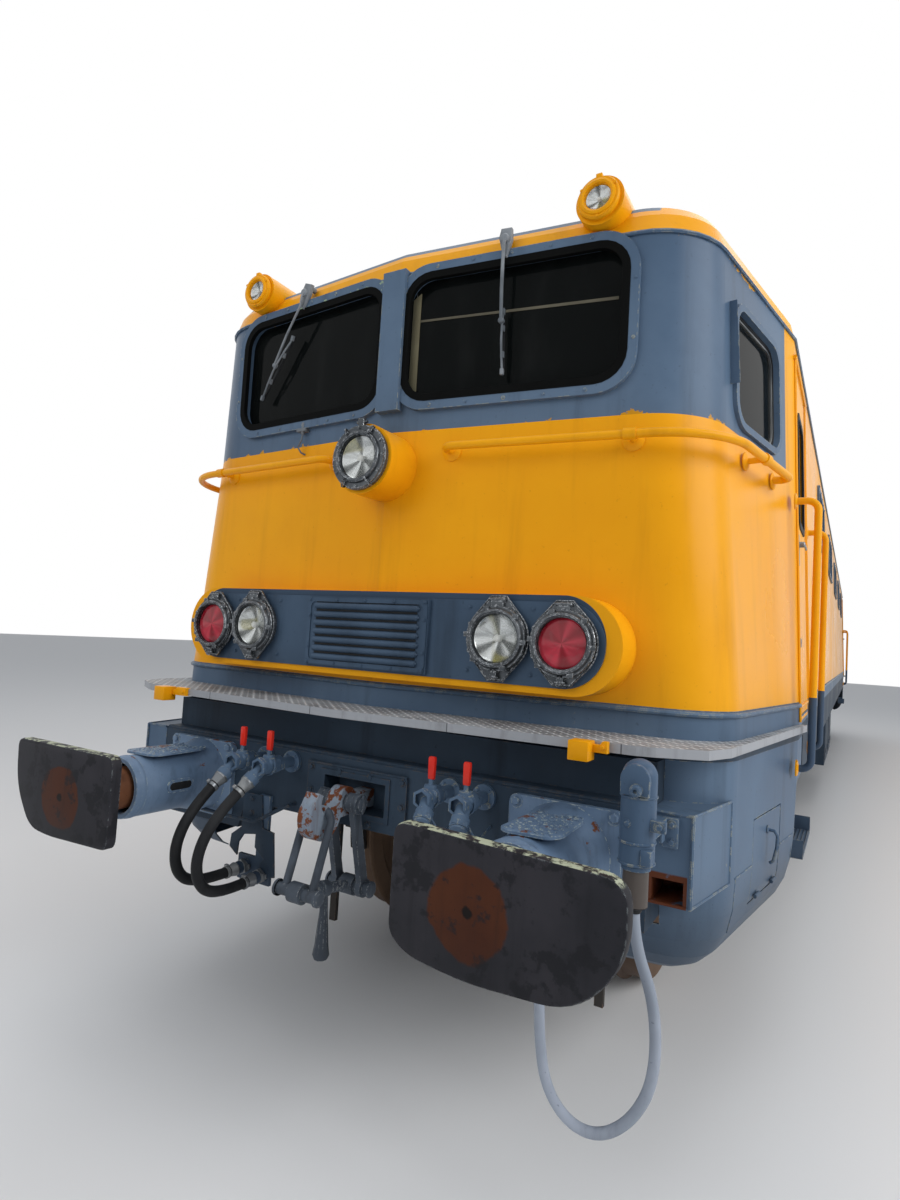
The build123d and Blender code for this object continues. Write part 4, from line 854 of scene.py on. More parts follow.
def centre_lamp(k, c=(0.0, -8.935, 2.450)):
    """Double ring, clamp band with its lug and screw, and thin spring clips over the rim."""
    for ring in CENTRE_RINGS:
        k.lathe(ring, c, seg=48, ring=True)
    for p in around(c, 0.1155, range(0, 360, 30)):
        k.bolt(p, 0.005)
    k.box((-0.014, -8.930, 2.572), (0.014, -8.908, 2.606))
    k.rod((-0.026, -8.919, 2.592), (0.026, -8.919, 2.592), 0.006)
    for d in around((0, 0, 0), 1.0, (60, 120, 240, 300)):
        clip = ((0.131, 0.012), (0.132, -0.004), (0.122, -0.012), (0.100, -0.016))
        k.sweep([Vector(c) + d * r + Vector((0, y, 0)) for r, y in clip], 0.004)


def roof_lamp(k, x, z):
    for ring in ROOF_RINGS:
        k.lathe(ring, (x, -8.730, z), seg=32, ring=True)
    k.box((x - 0.012, -8.728, z + 0.070), (x + 0.012, -8.708, z + 0.090))
    for p in around((x, -8.731, z), 0.072, (30, 150, 270)):
        k.bolt(p, 0.004)


# Shares of the lens's radius, with shares of the lamp's depth or, for the lens, heights in metres
BOWL_LINE = ((0.93, -0.35), (0.74, -0.65), (0.45, -0.90), (0.20, -1.0), (0, -1.0))
BULB_LINE = ((0, -0.15), (0.10, -0.2), (0.16, -0.4), (0.13, -0.7), (0.15, -0.96))
LENS_LINE = ((0, 0.007), (0.35, 0.0062), (0.7, 0.004), (0.93, 0.001), (1, -0.002), (1, -0.005), (0.7, -0.002),
             (0.35, 0.0005), (0, 0.001))


def lamp_bowls():
    """Reflector and bulb behind each lens, and the lenses themselves."""
    bowl, bulb, clear, red = Kit(), Kit(), Kit(), Kit()
    for x, y, z, r, deep in CLEAR_BOWLS + RED_BOWLS:
        bowl.lathe([(r, -0.003)] + [(r * a, deep * b) for a, b in BOWL_LINE], (x, y, z), seg=40)
        bulb.lathe([(r * a, deep * b) for a, b in BULB_LINE], (x, y, z), seg=20)
    for rows, k in ((CLEAR_BOWLS, clear), (RED_BOWLS, red)):
        for x, y, z, r, _ in rows:
            k.lathe([(r * a, h) for a, h in LENS_LINE], (x, y, z), seg=48)
    bowl.done("lamp_reflectors", REFLECTOR)
    bulb.done("lamp_bulbs", BULB)
    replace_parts(clear.done("lens_glass_clear", CLEAR, angle=60), "lenses_clear")
    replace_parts(red.done("lens_glass_red", RED_LENS, angle=60), "lenses_red")


k, roof = Kit(), Kit()
for lamp in LOWER_LAMPS:
    lower_lamp(k, *lamp)
centre_lamp(k)
for x, _, z, _, _ in ROOF_BOWLS:
    roof_lamp(roof, x, z)
k.done("lamp_trim", LAMP_METAL)
roof.done("roof_lamp_trim", YELLOW)
lamp_bowls()


# Louvre panel: frame strip, slats, dark strips painted as the shadow between the slats, and screws
SLAT_PITCH = 0.035
k, slat_shadows = Kit(), Kit()
k.rim(0.590, 0.276, 0.03, 0.017, (0, -8.822, 1.764), 0.004, inner_r=0.022)
for i in range(7):
    z = 1.658 + i * SLAT_PITCH
    k.rod((-0.262, -8.824, z), (0.262, -8.824, z), 0.0122, 14, 0.8)
# dark rubber strips between the slats: painted shadow
for i in range(8):
    z = 1.6365 + i * SLAT_PITCH
    slat_shadows.box((-0.250, -8.8245, z), (0.250, -8.8200, z + 0.008), 0.001)
for x in (-0.284, -0.142, 0, 0.142, 0.284):
    for z in (1.634, 1.894):
        k.bolt((x, -8.826, z), 0.006)
for x in (-0.284, 0.284):
    for z in (1.700, 1.828):
        k.bolt((x, -8.826, z), 0.006)
for x in (-0.722, -0.47, 0.47, 0.722):
    for z in (1.652, 1.884):
        k.bolt((x, -8.808, z), 0.006)
slat_shadows.done("panel_slat_shadows", RUBBER)
k.done("panel_trim", SHADED_PANEL)


# Windscreens: rubber seal inside each frame, screws round it, and what shows behind the right one
SCREEN_X, SCREEN_Z = 0.5075, 2.985
SCREEN_W, SCREEN_H = 0.895, 0.510
seal, screws, channel, bar = Kit(), Kit(), Kit(), Kit()
for side in (1, -1):
    n = face_normal(side)
    seal.rim(SCREEN_W + 0.030, SCREEN_H + 0.030, 0.118, 0.030, face_point(side * SCREEN_X, SCREEN_Z, 0.004),
             0.020, n, (1, side * FACE_SLOPE, 0), 0.090)
    places = [(i * 0.158, s * (SCREEN_H / 2 + 0.033), 0.006) for i in range(-2, 3) for s in (1, -1)]
    places += [(s * (SCREEN_W / 2 + 0.033), dz, 0.005) for dz in (-0.11, 0.11) for s in (1, -1)]
    for dx, dz, r in places:
        screws.bolt(face_point(side * SCREEN_X + dx, SCREEN_Z + dz, 0.021), r, n)
behind = (face_normal(1), (1, FACE_SLOPE, 0))
p = face_point(0.090, SCREEN_Z, -0.0215)
channel.prism([(-0.024, -0.234), (0.012, -0.236), (0.012, 0.205), (-0.024, 0.180)], p, 0.004, 0.001, *behind)
bar.prism([(0.012, 0.082), (0.832, 0.058), (0.832, 0.070), (0.012, 0.091)], p, 0.002, 0, *behind)
bar.done("screen_bar", BAR, ends=False)
channel.done("screen_channel", CHANNEL, ends=False)
seal.done("screen_seals", SEAL)
screws.done("screen_screws", BLUE_GREY)


# Wipers: each place is x and z on the nose
WIPER_BRACKET = [(-0.024, -0.044), (0.020, -0.046), (0.028, -0.010), (0.010, 0.062), (-0.006, 0.070),
                 (-0.026, 0.0)]


def wiper(name, pivot, elbow, end, top, bottom):
    """Pointed bracket, thin arm, and a blade in a bowed holder with four claws."""
    k, blade = Kit(), Kit()
    n = face_normal(pivot[0])
    lean = Vector((elbow[0] - pivot[0], 0, elbow[1] - pivot[1])).normalized()
    across = Vector((-lean.z, 0, lean.x))
    p = face_point(*pivot, 0.018)
    k.prism(WIPER_BRACKET, p, 0.020, 0.004, n, -across)
    k.lathe([(0.018, 0), (0.018, 0.010), (0.012, 0.016), (0, 0.017)], p + n * 0.020, n, 20)
    k.rod(p - n * 0.03 - lean * 0.030, p + n * 0.012 - lean * 0.030, 0.013)
    q, e = face_point(*elbow, 0.048), face_point(*end, 0.036)
    arm = [p + n * 0.026, p + n * 0.034 + lean * 0.02, q, q.lerp(e, 0.5) + n * 0.004, e]
    k.sweep(arm, 0.0055, 8, flat=1.3)
    a, b = face_point(*top, 0.020), face_point(*bottom, 0.020)
    bow = ((0.05, 0.0), (0.25, 0.010), (0.45, 0.016), (0.55, 0.016), (0.75, 0.010), (0.95, 0.0))
    k.sweep([a.lerp(b, f) + n * h for f, h in bow], 0.0045)
    k.boss(e - n * 0.012, n, 0.012, 0.014, 0.008, 0.018, 14)
    for f in (0.04, 0.30, 0.70, 0.96):
        claw = axes_at(a.lerp(b, f) + n * 0.002, n, across)
        k.box((-0.007, -0.012, -0.008), (0.007, 0.012, 0.006), 0.002, claw)
    blade.sweep([a - n * 0.008, b - n * 0.008], 0.008, flat=0.5)
    k.done(name + "_arm", WIPER_METAL)
    blade.done(name + "_blade", RUBBER)


wiper("wiper_right", (0.486, 3.322), (0.487, 3.235), (0.487, 3.000), (0.487, 3.050), (0.496, 2.790))
wiper("wiper_left", (-0.536, 3.316), (-0.556, 3.255), (-0.722, 3.010), (-0.613, 3.137), (-0.817, 2.857))


# Drip moulding round the whole body under the cornice, and the plinth's lip, which stops at the crew doors
LIP_X, LIP_Z = side_x(1.57) + 0.005, 1.556
k = Kit()
line = nose_line(3.270, 0.004)
k.sweep(line + [tuple(TURN @ Vector(p)) for p in line], 0.008, closed=True)
line = [p for p in nose_line(LIP_Z, 0.005) if p[1] < -7.49][1:-1]
for turn in (Matrix(), TURN):
    k.sweep([turn @ Vector(p) for p in [(LIP_X, -7.520, LIP_Z), *line, (-LIP_X, -7.520, LIP_Z)]], 0.010, 8)
for side in (1, -1):
    k.sweep([(side * LIP_X, y, LIP_Z) for y in (-6.760, 6.760)], 0.010, 8)
k.done("drip_moulding", BLUE_GREY, ends=False)


# Handrail brackets
RAIL_Z, RAIL_OFF = 2.505, 0.080
RAIL_BEND = (1.314, -8.6886)
RAIL_HALF = side_x(RAIL_Z) + RAIL_OFF
COLLAR = ((0.021, -0.022), (0.021, 0.022), (0, 0.024))
FACE_FOOT = ((0.040, 0), (0.040, 0.005), (0.028, 0.011), (0.017, 0.014), (0, 0.014))
CORNER_FOOT = ((0.036, 0), (0.036, 0.005), (0.026, 0.010), (0.016, 0.013), (0, 0.013))
SIDE_FOOT = ((0.036, 0), (0.036, 0.006), (0.022, 0.012), (0.016, 0.013), (0, 0.013))
k = Kit()
for side in (1, -1):
    for x in (0.295, 1.000):
        p = face_point(side * x, RAIL_Z)
        n = face_normal(side)
        k.lathe(FACE_FOOT, p, n, 20)
        if x > 0.5:
            k.rod(p, p + n * RAIL_OFF, 0.012)
            k.lathe(COLLAR, p + n * RAIL_OFF, (1, side * 0.1, 0), 16)
    for y in (-8.250, -7.900):
        x = RAIL_HALF + (RAIL_BEND[0] - RAIL_HALF) * (y + TAPER_Y) / (RAIL_BEND[1] + TAPER_Y)
        n = Vector((1, -0.195, 0)).normalized()
        q = Vector((x, y, RAIL_Z))
        p = q - n * (RAIL_OFF - 0.004)
        if side < 0:
            p, q, n = MIRROR @ p, MIRROR @ q, MIRROR @ n
        k.lathe(CORNER_FOOT, p, n, 20)
        if y < -8:
            k.rod(p, q, 0.012)
            k.lathe(COLLAR, q, (n.y, -n.x, 0), 16)
    for y in (-7.620, -6.735):
        for z in (2.470, 1.290):
            x = (side_x(z) if z > 1.5 else 1.485) + 0.0005
            k.lathe(SIDE_FOOT, (side * x, y, z), (side, 0, 0), 20)
            for dz in (0.026, -0.026):
                k.bolt((side * (x + 0.006), y, z + dz), 0.005, (side, 0, 0))
k.done("rail_brackets", YELLOW)


# Platform: yellow lamp-iron sockets, each a block and a plate with one bolt
k = Kit()
for x, far in ((0.974, 0.076), (-0.985, 0.120)):
    k.box((x - 0.036, -8.990, 1.412), (x + 0.030, -8.924, 1.473))
    k.prism([(0.026, 1.438), (far, 1.438), (far, 1.474), (0.060, 1.474), (0.052, 1.462), (0.026, 1.462)],
            (x, -8.924, 0), 0.024, 0.002)
    k.bolt((x + far - 0.014, -8.948, 1.456), 0.007)
k.done("lamp_irons", YELLOW)


# Headstock beam: weld beads, a flat frame round the hook's plate, and bolts
BEAM_Y = HEADSTOCK_Y - 0.012
k = Kit()
for x in (-0.225, -0.075, 0.075, 0.225):
    for z in (1.204, 1.020):
        k.bolt((x, BEAM_Y, z))
for side in (1, -1):
    k.bolt((side * 0.225, BEAM_Y, 1.112))
k.sweep([(-1.148, -8.790, 1.262), (1.148, -8.790, 1.262)], 0.007)
k.sweep([(-0.245, BEAM_Y, 1.224), (0.245, BEAM_Y, 1.224)], 0.005)
outer, inner = ([(-x, -z), (x, -z), (x, z), (-x, z)] for x, z in ((0.17, 0.085), (0.15, 0.062)))
k.frame(outer, inner, (0, BEAM_Y, 1.122), 0.006)
k.done("beam_trim", DARK_GREY_SHADED)


# Buffers: head plates with plungers, and casings with their step plates
# x, z about the buffer's centre, and where each corner's curve starts
HEAD_PLATES = {
    1: ((0.403, 0.166, 0.070), (0.403, -0.025, 0.085), (0.285, -0.158, 0.085), (0.0, -0.172, 0.070),
        (-0.170, -0.152, 0.038), (-0.238, -0.110, 0.038), (-0.238, 0.190, 0.045)),
    -1: ((-0.312, 0.190, 0.040), (-0.300, 0.005, 0.090), (-0.188, -0.142, 0.060), (-0.060, -0.155, 0.060),
         (0.300, -0.142, 0.040), (0.300, 0.190, 0.040)),
}
# x and y from the buffer's middle and the headstock, and where each corner's curve starts
STEP_PLATE = ((-0.050, -0.050, 0.015), (0.056, -0.050, 0.015), (0.100, -0.105, 0.020),
              (0.109, -0.320, 0.020), (0.082, -0.360, 0.015), (-0.050, -0.372, 0.015),
              (-0.078, -0.345, 0.015), (-0.074, -0.105, 0.020))
PLUNGER_LINE = [(0, 0), (0.085, 0), (0.085, 0.300), (0.092, 0.308), (0.128, 0.310), (0.135, 0.316),
                (0.135, 0.339)]
CASING_LINE = [(0.165, 0), (0.155, 0.030), (0.138, 0.085), (0.129, 0.115), (0.127, 0.140), (0.126, 0.270),
               (0.125, 0.404), (0.121, 0.411), (0.106, 0.412), (0.100, 0.405), (0.100, 0.285), (0, 0.285)]
heads, plungers, casings, slot_shade = Kit(), Kit(), Kit(), Kit()
for side in (1, -1):
    x = side * BUFFER_X
    foot = (x, HEADSTOCK_Y - 0.024, BUFFER_Z)
    heads.prism(soft_corners(HEAD_PLATES[side]), (x, -9.438, BUFFER_Z), 0.038, 0.009)
    plungers.lathe(PLUNGER_LINE, (x, -9.100, BUFFER_Z), seg=48)
    casings.lathe(CASING_LINE, foot, seg=56)
    casings.lathe([(0.125, 0.366), (0.1275, 0.370), (0.1275, 0.382), (0.125, 0.386)], foot, seg=56, ring=True)
    casings.prism(rounded(0.400, 0.330, 0.030), (x, HEADSTOCK_Y, BUFFER_Z), 0.024, 0.004)
    casings.prism(soft_corners(STEP_PLATE, 4), (x, HEADSTOCK_Y, BUFFER_Z + 0.128), 0.010, 0.002, UP)
    # studs of the step plate, turned alternately
    for row in range(13):
        odd = row % 2
        for column in range(7):
            dx = -0.060 + 0.024 * column + 0.012 * odd
            if dx < 0.092:
                turn = Matrix.Rotation(radians(50 if odd else -50), 4, "Z")
                m = Matrix.Translation((x + dx, -8.880 - 0.022 * row, BUFFER_Z + 0.138)) @ turn
                casings.box((-0.009, -0.0025, -0.001), (0.009, 0.0025, 0.002), 0, m)
    for d in (1, -1):
        side_hole = (x + d * 0.1220, -9.030, BUFFER_Z)
        # dark plate in each side slot of the casing: painted shade in the opening
        slot_shade.prism(rounded(0.112, 0.034, 0.017), side_hole, 0.0065, 0, (d, 0, 0), BACK)
        casings.rim(0.130, 0.052, 0.026, 0.010, side_hole, 0.0085, (d, 0, 0), BACK)
    for z in (-0.143, 0.143):
        for dx in (-0.172, 0.172):
            casings.bolt((x + dx, HEADSTOCK_Y - 0.024, BUFFER_Z + z), 0.016)
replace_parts(heads.done("buffer_plates", BUFFER), "buffer_heads")
plungers.done("buffer_plungers", PLUNGER)
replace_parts(casings.done("buffer_tubes", CASING), "buffer_casings")
slot_shade.done("buffer_slot_shade", RUBBER)


# Screw coupling: thread, pin heads and washers, and the weight
SCREW_FOOT, SCREW_HEAD, HOOK_PIN = (-8.800, 0.775), (-9.105, 0.825), (-8.890, 1.115)
k = Kit()
foot, head = Vector((0, *SCREW_FOOT)), Vector((0, *SCREW_HEAD))
axis = (head - foot).normalized()
for start, length, turns in ((0.045, 0.095, 14), (0.195, 0.075, 11)):
    k.coil(foot + axis * start, length, 0.0175, 0.0035, turns, axis)
for s in (1, -1):
    k.rod((s * 0.102, -8.890, 1.080), (s * 0.102, -8.890, 1.150), 0.005)
    for x, pin, r, shoulder, r_top, top in (
            (0.095, HOOK_PIN, 0.026, 0.006, 0.018, 0.010), (0.088, SCREW_HEAD, 0.030, 0.010, 0.022, 0.016),
            (0.095, SCREW_FOOT, 0.031, 0.008, 0.022, 0.014)):
        k.boss((s * x, *pin), (s, 0, 0), r, shoulder, r_top, top)
    k.lathe([(0.032, -0.006), (0.036, 0), (0.036, 0.010), (0.032, 0.014)], (s * 0.048, *HOOK_PIN),
            (-s, 0, 0))
k.lathe([(0, 0.205), (0.013, 0.200), (0.015, 0.150), (0.026, 0.020), (0.032, -0.018), (0.026, -0.032),
         (0, -0.034)], (0, -8.953, 0.575), UP, 10)
k.done("coupling_trim", DRAW_GEAR)


# Air cocks: flange bolts, union nuts, hubs, and the red levers over the plain CAD ones
HOSE_COCKS, BLANK_COCKS = (-0.490, -0.340), (0.430, 0.570)
COCK_Y, COCK_Z = -8.945, 1.208
LEVER = [(-0.0105, 0), (0.0105, 0), (0.0120, 0.010), (0.0135, 0.072), (0.010, 0.078), (-0.010, 0.078),
         (-0.0135, 0.072), (-0.0120, 0.010)]
k, levers = Kit(), Kit()
for x in HOSE_COCKS + BLANK_COCKS:
    for p in around((x, -8.815, COCK_Z), 0.034, (45, 135, 225, 315)):
        k.bolt(p, 0.006)
    for y, r in ((-8.880, 0.034), (-8.985, 0.038)):
        k.lathe([(r * 0.7, 0), (r, 0.002), (r, 0.018), (r * 0.7, 0.020)], (x, y, COCK_Z), seg=6)
    k.lathe([(0, 0.044), (0.022, 0.042), (0.026, 0.030), (0.026, 0)], (x, COCK_Y, COCK_Z), UP, 20)
    k.lathe([(0.038, -0.008), (0.041, 0), (0.038, 0.008), (0.030, 0)], (x, COCK_Y, COCK_Z), ring=True)
    levers.prism(LEVER, (x, -8.938, 1.269), 0.014, 0.003)
    k.sweep([(x + 0.024, -8.952, 1.222), (x + 0.010, -8.955, 1.236), (x, -8.948, 1.252), (x, COCK_Y, 1.274)],
            0.009, 8, flat=0.6)
    k.boss((x + 0.022, -8.950, 1.222), FRONT, 0.015, 0.012, 0.008, 0.018, 12)
# blank caps with their wire on the two cocks without a hose
for x in BLANK_COCKS:
    d = Vector((0.016, -0.054, -0.050)).normalized()
    p = Vector((x + 0.019, -9.012, 1.156))
    k.lathe([(0.028, 0), (0.035, 0.003), (0.035, 0.020), (0.028, 0.023)], p, d, 6)
    k.lathe([(0.030, 0.023), (0.030, 0.030), (0.020, 0.036), (0, 0.036)], p, d, 20)
    wire = [p + Vector((0.030, 0, 0)), p + Vector((0.045, 0.012, -0.03)), p + Vector((0.040, 0.060, -0.06))]
    k.sweep(wire + [(x + 0.030, -8.830, 1.10), (x + 0.030, -8.802, 1.11)], 0.0035)
k.done("cock_trim", BLUE_GREY)
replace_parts(levers.done("cock_levers", RED), "cock_handles")


# Hose ends and the jumper's glands, on the first end only
def clamp(k, p, d, r=0.0235):
    """Worm-drive band round a hose."""
    band = ((r, -0.007), (r + 0.002, -0.006), (r + 0.002, 0.006), (r, 0.007), (r - 0.002, 0))
    k.lathe(band, p, d, 32, True)
    k.box((r, -0.008, -0.007), (r + 0.011, 0.008, 0.007), 0.002, axes_at(p, d))


k = Kit()
for pts in (HOSE_A, HOSE_B):
    p, q = Vector(pts[0]), Vector(pts[1])
    d = (q - p).normalized()
    k.lathe([(0.030, 0), (0.031, 0.006), (0.027, 0.014), (0.0225, 0.040), (0.022, 0.0)], p, d, 28, True)
    clamp(k, p + d * 0.052, d)
    p, q = Vector(pts[-1]), Vector(pts[-2])
    d = (q - p).normalized()
    k.lathe([(0.026, 0), (0.029, 0.006), (0.026, 0.018), (0.0225, 0.036), (0.022, 0.0)], p, d, 28, True)
    clamp(k, p + d * 0.048, d)
    k.lathe([(0.026, 0), (0.033, 0.002), (0.033, 0.018), (0.026, 0.020)], p - d * 0.022, -d, 6, True)
    k.box((-0.010, -0.034, -0.050), (0.010, 0.034, -0.040), 0.002, axes_at(p, d))
k.done("hose_fittings", STEEL, ends=False)

k = Kit()
for end, gland in ((JUMPER[0], ((0.034, 0.002), (0.035, -0.003), (0.024, -0.008), (0.0185, -0.020),
                                (0.0165, -0.021), (0.0165, 0.002))),
                   (JUMPER[-1], ((0.030, 0.0), (0.030, -0.010), (0.021, -0.020), (0.0185, -0.050),
                                 (0.0165, -0.050), (0.0165, 0.0)))):
    k.lathe(gland, end, UP, 28, True)
k.done("cable_glands", RUBBER, ends=False)

# Jumper socket: rings, lid with its screw, latch and bracket
SOCKET_X, SOCKET_Y = 1.180, -9.050
k = Kit()
for z in (1.168, 1.226, 1.352):
    k.lathe([(0.050, -0.004), (0.053, -0.002), (0.053, 0.002), (0.050, 0.004), (0.047, 0)],
            (SOCKET_X, SOCKET_Y, z), UP, 36, True)
k.lathe([(0.036, 0), (0.041, 0.003), (0.041, 0.016), (0.036, 0.019)], (SOCKET_X, SOCKET_Y, 1.146), UP,
        ring=True)
angles = [pi * i / 12 for i in range(1, 12)]
dome = [(0.042 * cos(a), 1.400 + 0.046 * sin(a)) for a in angles]
k.prism([(-0.040, 1.358), (0.040, 1.358), (0.042, 1.400), *dome, (-0.042, 1.400)],
        (SOCKET_X, SOCKET_Y - 0.040, 0), 0.014, 0.003)
k.lathe([(0.017, 0), (0.017, 0.014), (0.012, 0.018), (0.006, 0.018), (0.006, 0.010), (0, 0.010)],
        (SOCKET_X + 0.006, SOCKET_Y - 0.054, 1.374), seg=18)
for lo, hi, bevel in (((1.220, -9.080, 1.262), (1.264, -9.062, 1.296), 0.004),
                      ((1.202, -9.102, 1.172), (1.232, -9.060, 1.214), 0.004),
                      ((1.196, -8.818, 1.160), (1.244, -8.800, 1.252), 0.004),
                      ((1.196, -8.860, 1.180), (1.206, -8.800, 1.236), 0.003)):
    k.box(lo, hi, bevel)
for x, y, z, r in ((1.246, -9.080, 1.279, 0.010), (1.162, -9.0975, 1.280, 0.008),
                   (1.224, -8.818, 1.178, 0.009), (1.224, -8.818, 1.232, 0.009)):
    k.bolt((x, y, z), r)
k.done("socket_trim", BLUE_GREY)

# Bent guard rod and torn bracket under the beam
k = Kit()
k.sweep([(-0.846, -8.802, 0.952), (-0.840, -8.835, 0.948), (-0.810, -8.850, 0.939), (-0.652, -8.850, 0.937),
         (-0.500, -8.850, 0.938), (-0.465, -8.850, 0.950), (-0.335, -8.850, 1.022), (-0.318, -8.838, 1.032),
         (-0.312, -8.802, 1.036)], 0.008, 8)
k.prism([(-0.645, 0.855), (-0.652, 0.800), (-0.605, 0.770), (-0.600, 0.826), (-0.572, 0.866), (-0.502, 0.878),
         (-0.502, 0.823), (-0.445, 0.784), (-0.466, 0.759), (-0.443, 0.706), (-0.381, 0.719), (-0.400, 0.901),
         (-0.464, 0.910), (-0.480, 1.045), (-0.586, 1.045), (-0.588, 0.896)], (0, -8.816, 0), 0.008, 0.0015)
for z in (0.965, 1.025):
    k.bolt((-0.533, -8.824, z), 0.010)
k.done("guard_rod", DARK_GREY_SHADED, ends=False)

# Small hook below the left windscreen
k = Kit()
p = face_point(-0.510, 2.672)
k.box(p + Vector((-0.028, -0.030, -0.008)), p + Vector((0.028, 0.004, 0.008)))
k.rod(p + Vector((0.006, -0.022, 0.034)), p + Vector((0.006, -0.022, -0.020)), 0.007)
hook = ((0.006, -0.022, -0.015), (0.008, -0.030, -0.050), (-0.010, -0.030, -0.080), (0.002, -0.020, -0.104),
        (0.010, 0.002, -0.110))
k.sweep([p + Vector(d) for d in hook], 0.0045)
k.done("window_hook", WIPER_METAL, ends=False)


# Apron: hatch handles and hinges, seams, step box edges
APRON_SIDE_X = 1.484
APRON_CORNER_X, APRON_CORNER_Y = 1.329, 8.739 - 0.1329
# where each lower strip of the sheet starts, and how much further in it leans
APRON_BENDS = ((0.990, 0.0545), (0.880, 0.1455), (0.800, 0.2615))
HATCH_GRIP_Y, HATCH_HINGE_Z = -7.985, 0.862


def tapered(y, z):
    """Half width of the apron at a point between the corner and the bogie."""
    f = (-TAPER_Y - y) / (APRON_CORNER_Y - TAPER_Y)
    inset = sum(max(0.0, top - z) * slope for top, slope in APRON_BENDS)
    return APRON_SIDE_X - f * (APRON_SIDE_X - APRON_CORNER_X) - inset


def hatch_handle(k, side, turn):
    """Bent pull bar and two hinge barrels, on the hatch of one corner."""
    out = Vector((side, -0.14, 0)).normalized()
    bar = ((1.086, -0.002), (1.084, 0.026), (1.066, 0.038), (1.020, 0.036), (0.968, 0.026), (0.958, 0.014))
    y = HATCH_GRIP_Y
    grip = [turn @ (Vector((side * tapered(y, z), y, z)) + out * off) for z, off in bar]
    out = turn @ out
    k.sweep(grip, 0.0065, 8)
    k.boss(grip[0] + out * 0.002, out, 0.016, 0.004, 0.010, 0.007, 16)
    for y in (-8.105, -7.865):
        z = HATCH_HINGE_Z
        x = tapered(y, z)
        ends = ((side * (x + 0.004), y - 0.030, z), (side * (x + 0.012), y + 0.030, z))
        k.rod(*(turn @ Vector(p) for p in ends), 0.008)


for side, turn, name in ((1, Matrix(), "hatch_front_right"), (1, TURN, "hatch_rear_left"),
                         (-1, Matrix(), "hatch_front_left"), (-1, TURN, "hatch_rear_right")):
    k = Kit()
    hatch_handle(k, side, turn)
    k.done(name + "_handle", BLUE_GREY, name, ends=False)

k = Kit()
for side in (1, -1):
    # weld beads round the step box
    for z in (1.262, 0.984):
        k.sweep([(side * 1.154, -8.801, z), (side * 1.284, -8.801, z), (side * 1.345, -8.462, z)], 0.005)
    k.sweep([(side * 1.285, -8.802, 0.984), (side * 1.285, -8.802, 1.262)], 0.006)
    k.sweep([(side * 1.346, -8.458, 0.984), (side * 1.346, -8.458, 1.262)], 0.004)
    # joint of the lower, curved sheet
    for run in ((-8.41, -8.30, -8.195), (-7.775, -7.65, -7.53)):
        k.sweep([(side * (tapered(y, 0.990) + 0.0005), y, 0.990) for y in run], 0.003)
    k.sweep([(side * (tapered(-8.40, z) - 0.001), -8.40, z) for z in (0.990, 0.94, 0.88, 0.84, 0.80)], 0.003)
k.done("apron_seams", BLUE_GREY)


# Crew doors: window seal and pane, lever and lock, strips
OUT = Vector((1, 0, 0.041)).normalized()
DOOR_EDGES = (-7.448, -6.880)
DOOR_PANE_Y, DOOR_PANE_Z = -7.160, 2.690
LEVER_Y, LOCK_Z = -7.405, 1.840
DOORS = {"door_front_right": Matrix(), "door_front_left": MIRROR, "door_rear_left": TURN,
         "door_rear_right": TURN @ MIRROR}


def side_line(y, heights, out):
    """Upright line on the right side."""
    return [(side_x(z) + out, y, z) for z in heights]


for body, place in DOORS.items():
    seal, pane, metal, skin = Kit(), Kit(), Kit(), Kit()
    mid = Vector((side_x(DOOR_PANE_Z), DOOR_PANE_Y, DOOR_PANE_Z))
    facing = (OUT, BACK)
    seal.rim(0.400, 0.580, 0.078, 0.032, mid - OUT * 0.004, 0.010, *facing)
    pane.prism(rounded(0.350, 0.530, 0.052), mid - OUT * 0.024, 0.006, 0, *facing)
    x, y = side_x(2.28), LEVER_Y
    metal.prism(rounded(0.044, 0.150, 0.018), (x, y, 2.280), 0.005, 0.0015, *facing)
    metal.boss((x + 0.004, y, 2.305), RIGHT, 0.014, 0.020, 0.010, 0.024, 16)
    metal.sweep([(x + 0.024, y, 2.305), (x + 0.026, -7.370, 2.303), (x + 0.026, -7.290, 2.300)], 0.008, 8,
                flat=0.7)
    metal.lathe([(0.024, 0), (0.024, 0.004), (0.018, 0.008), (0.007, 0.008), (0.006, 0.002), (0, 0.002)],
                (side_x(LOCK_Z), y, LOCK_Z), RIGHT)
    x = side_x(1.545) + 0.003
    skin.sweep([(x, -7.440, 1.545), (x, -6.890, 1.545)], 0.006)
    for y in DOOR_EDGES:
        skin.sweep(side_line(y, (1.56, 2.0, 2.6), 0.001), 0.004)
    skin.sweep(side_line(DOOR_EDGES[0], (2.6, 2.9, 3.12), 0.001), 0.004)
    for piece, name, look in ((seal, "_seal", RUBBER), (pane, "_pane", WINDOW), (metal, "_lever", STEEL),
                              (skin, "_strips", YELLOW)):
        bmesh.ops.transform(piece.bm, matrix=place, verts=piece.bm.verts)
        piece.done(body + name, look, body, ends=False)

# Door surround
k = Kit()
for side in (1, -1):
    for y in (-7.500, -6.795):
        k.sweep([(side * x, y, z) for x, y, z in side_line(y, (1.48, 2.0, 2.6, 2.9, 3.18), 0.003)], 0.007)
    x = side * (side_x(3.18) + 0.004)
    k.sweep([(x, -7.52, 3.18), (x, -6.775, 3.18)], 0.010)
    k.box((side * 1.470, -7.480, 1.474), (side * 1.488, -6.860, 1.492))
k.done("door_surround", YELLOW)


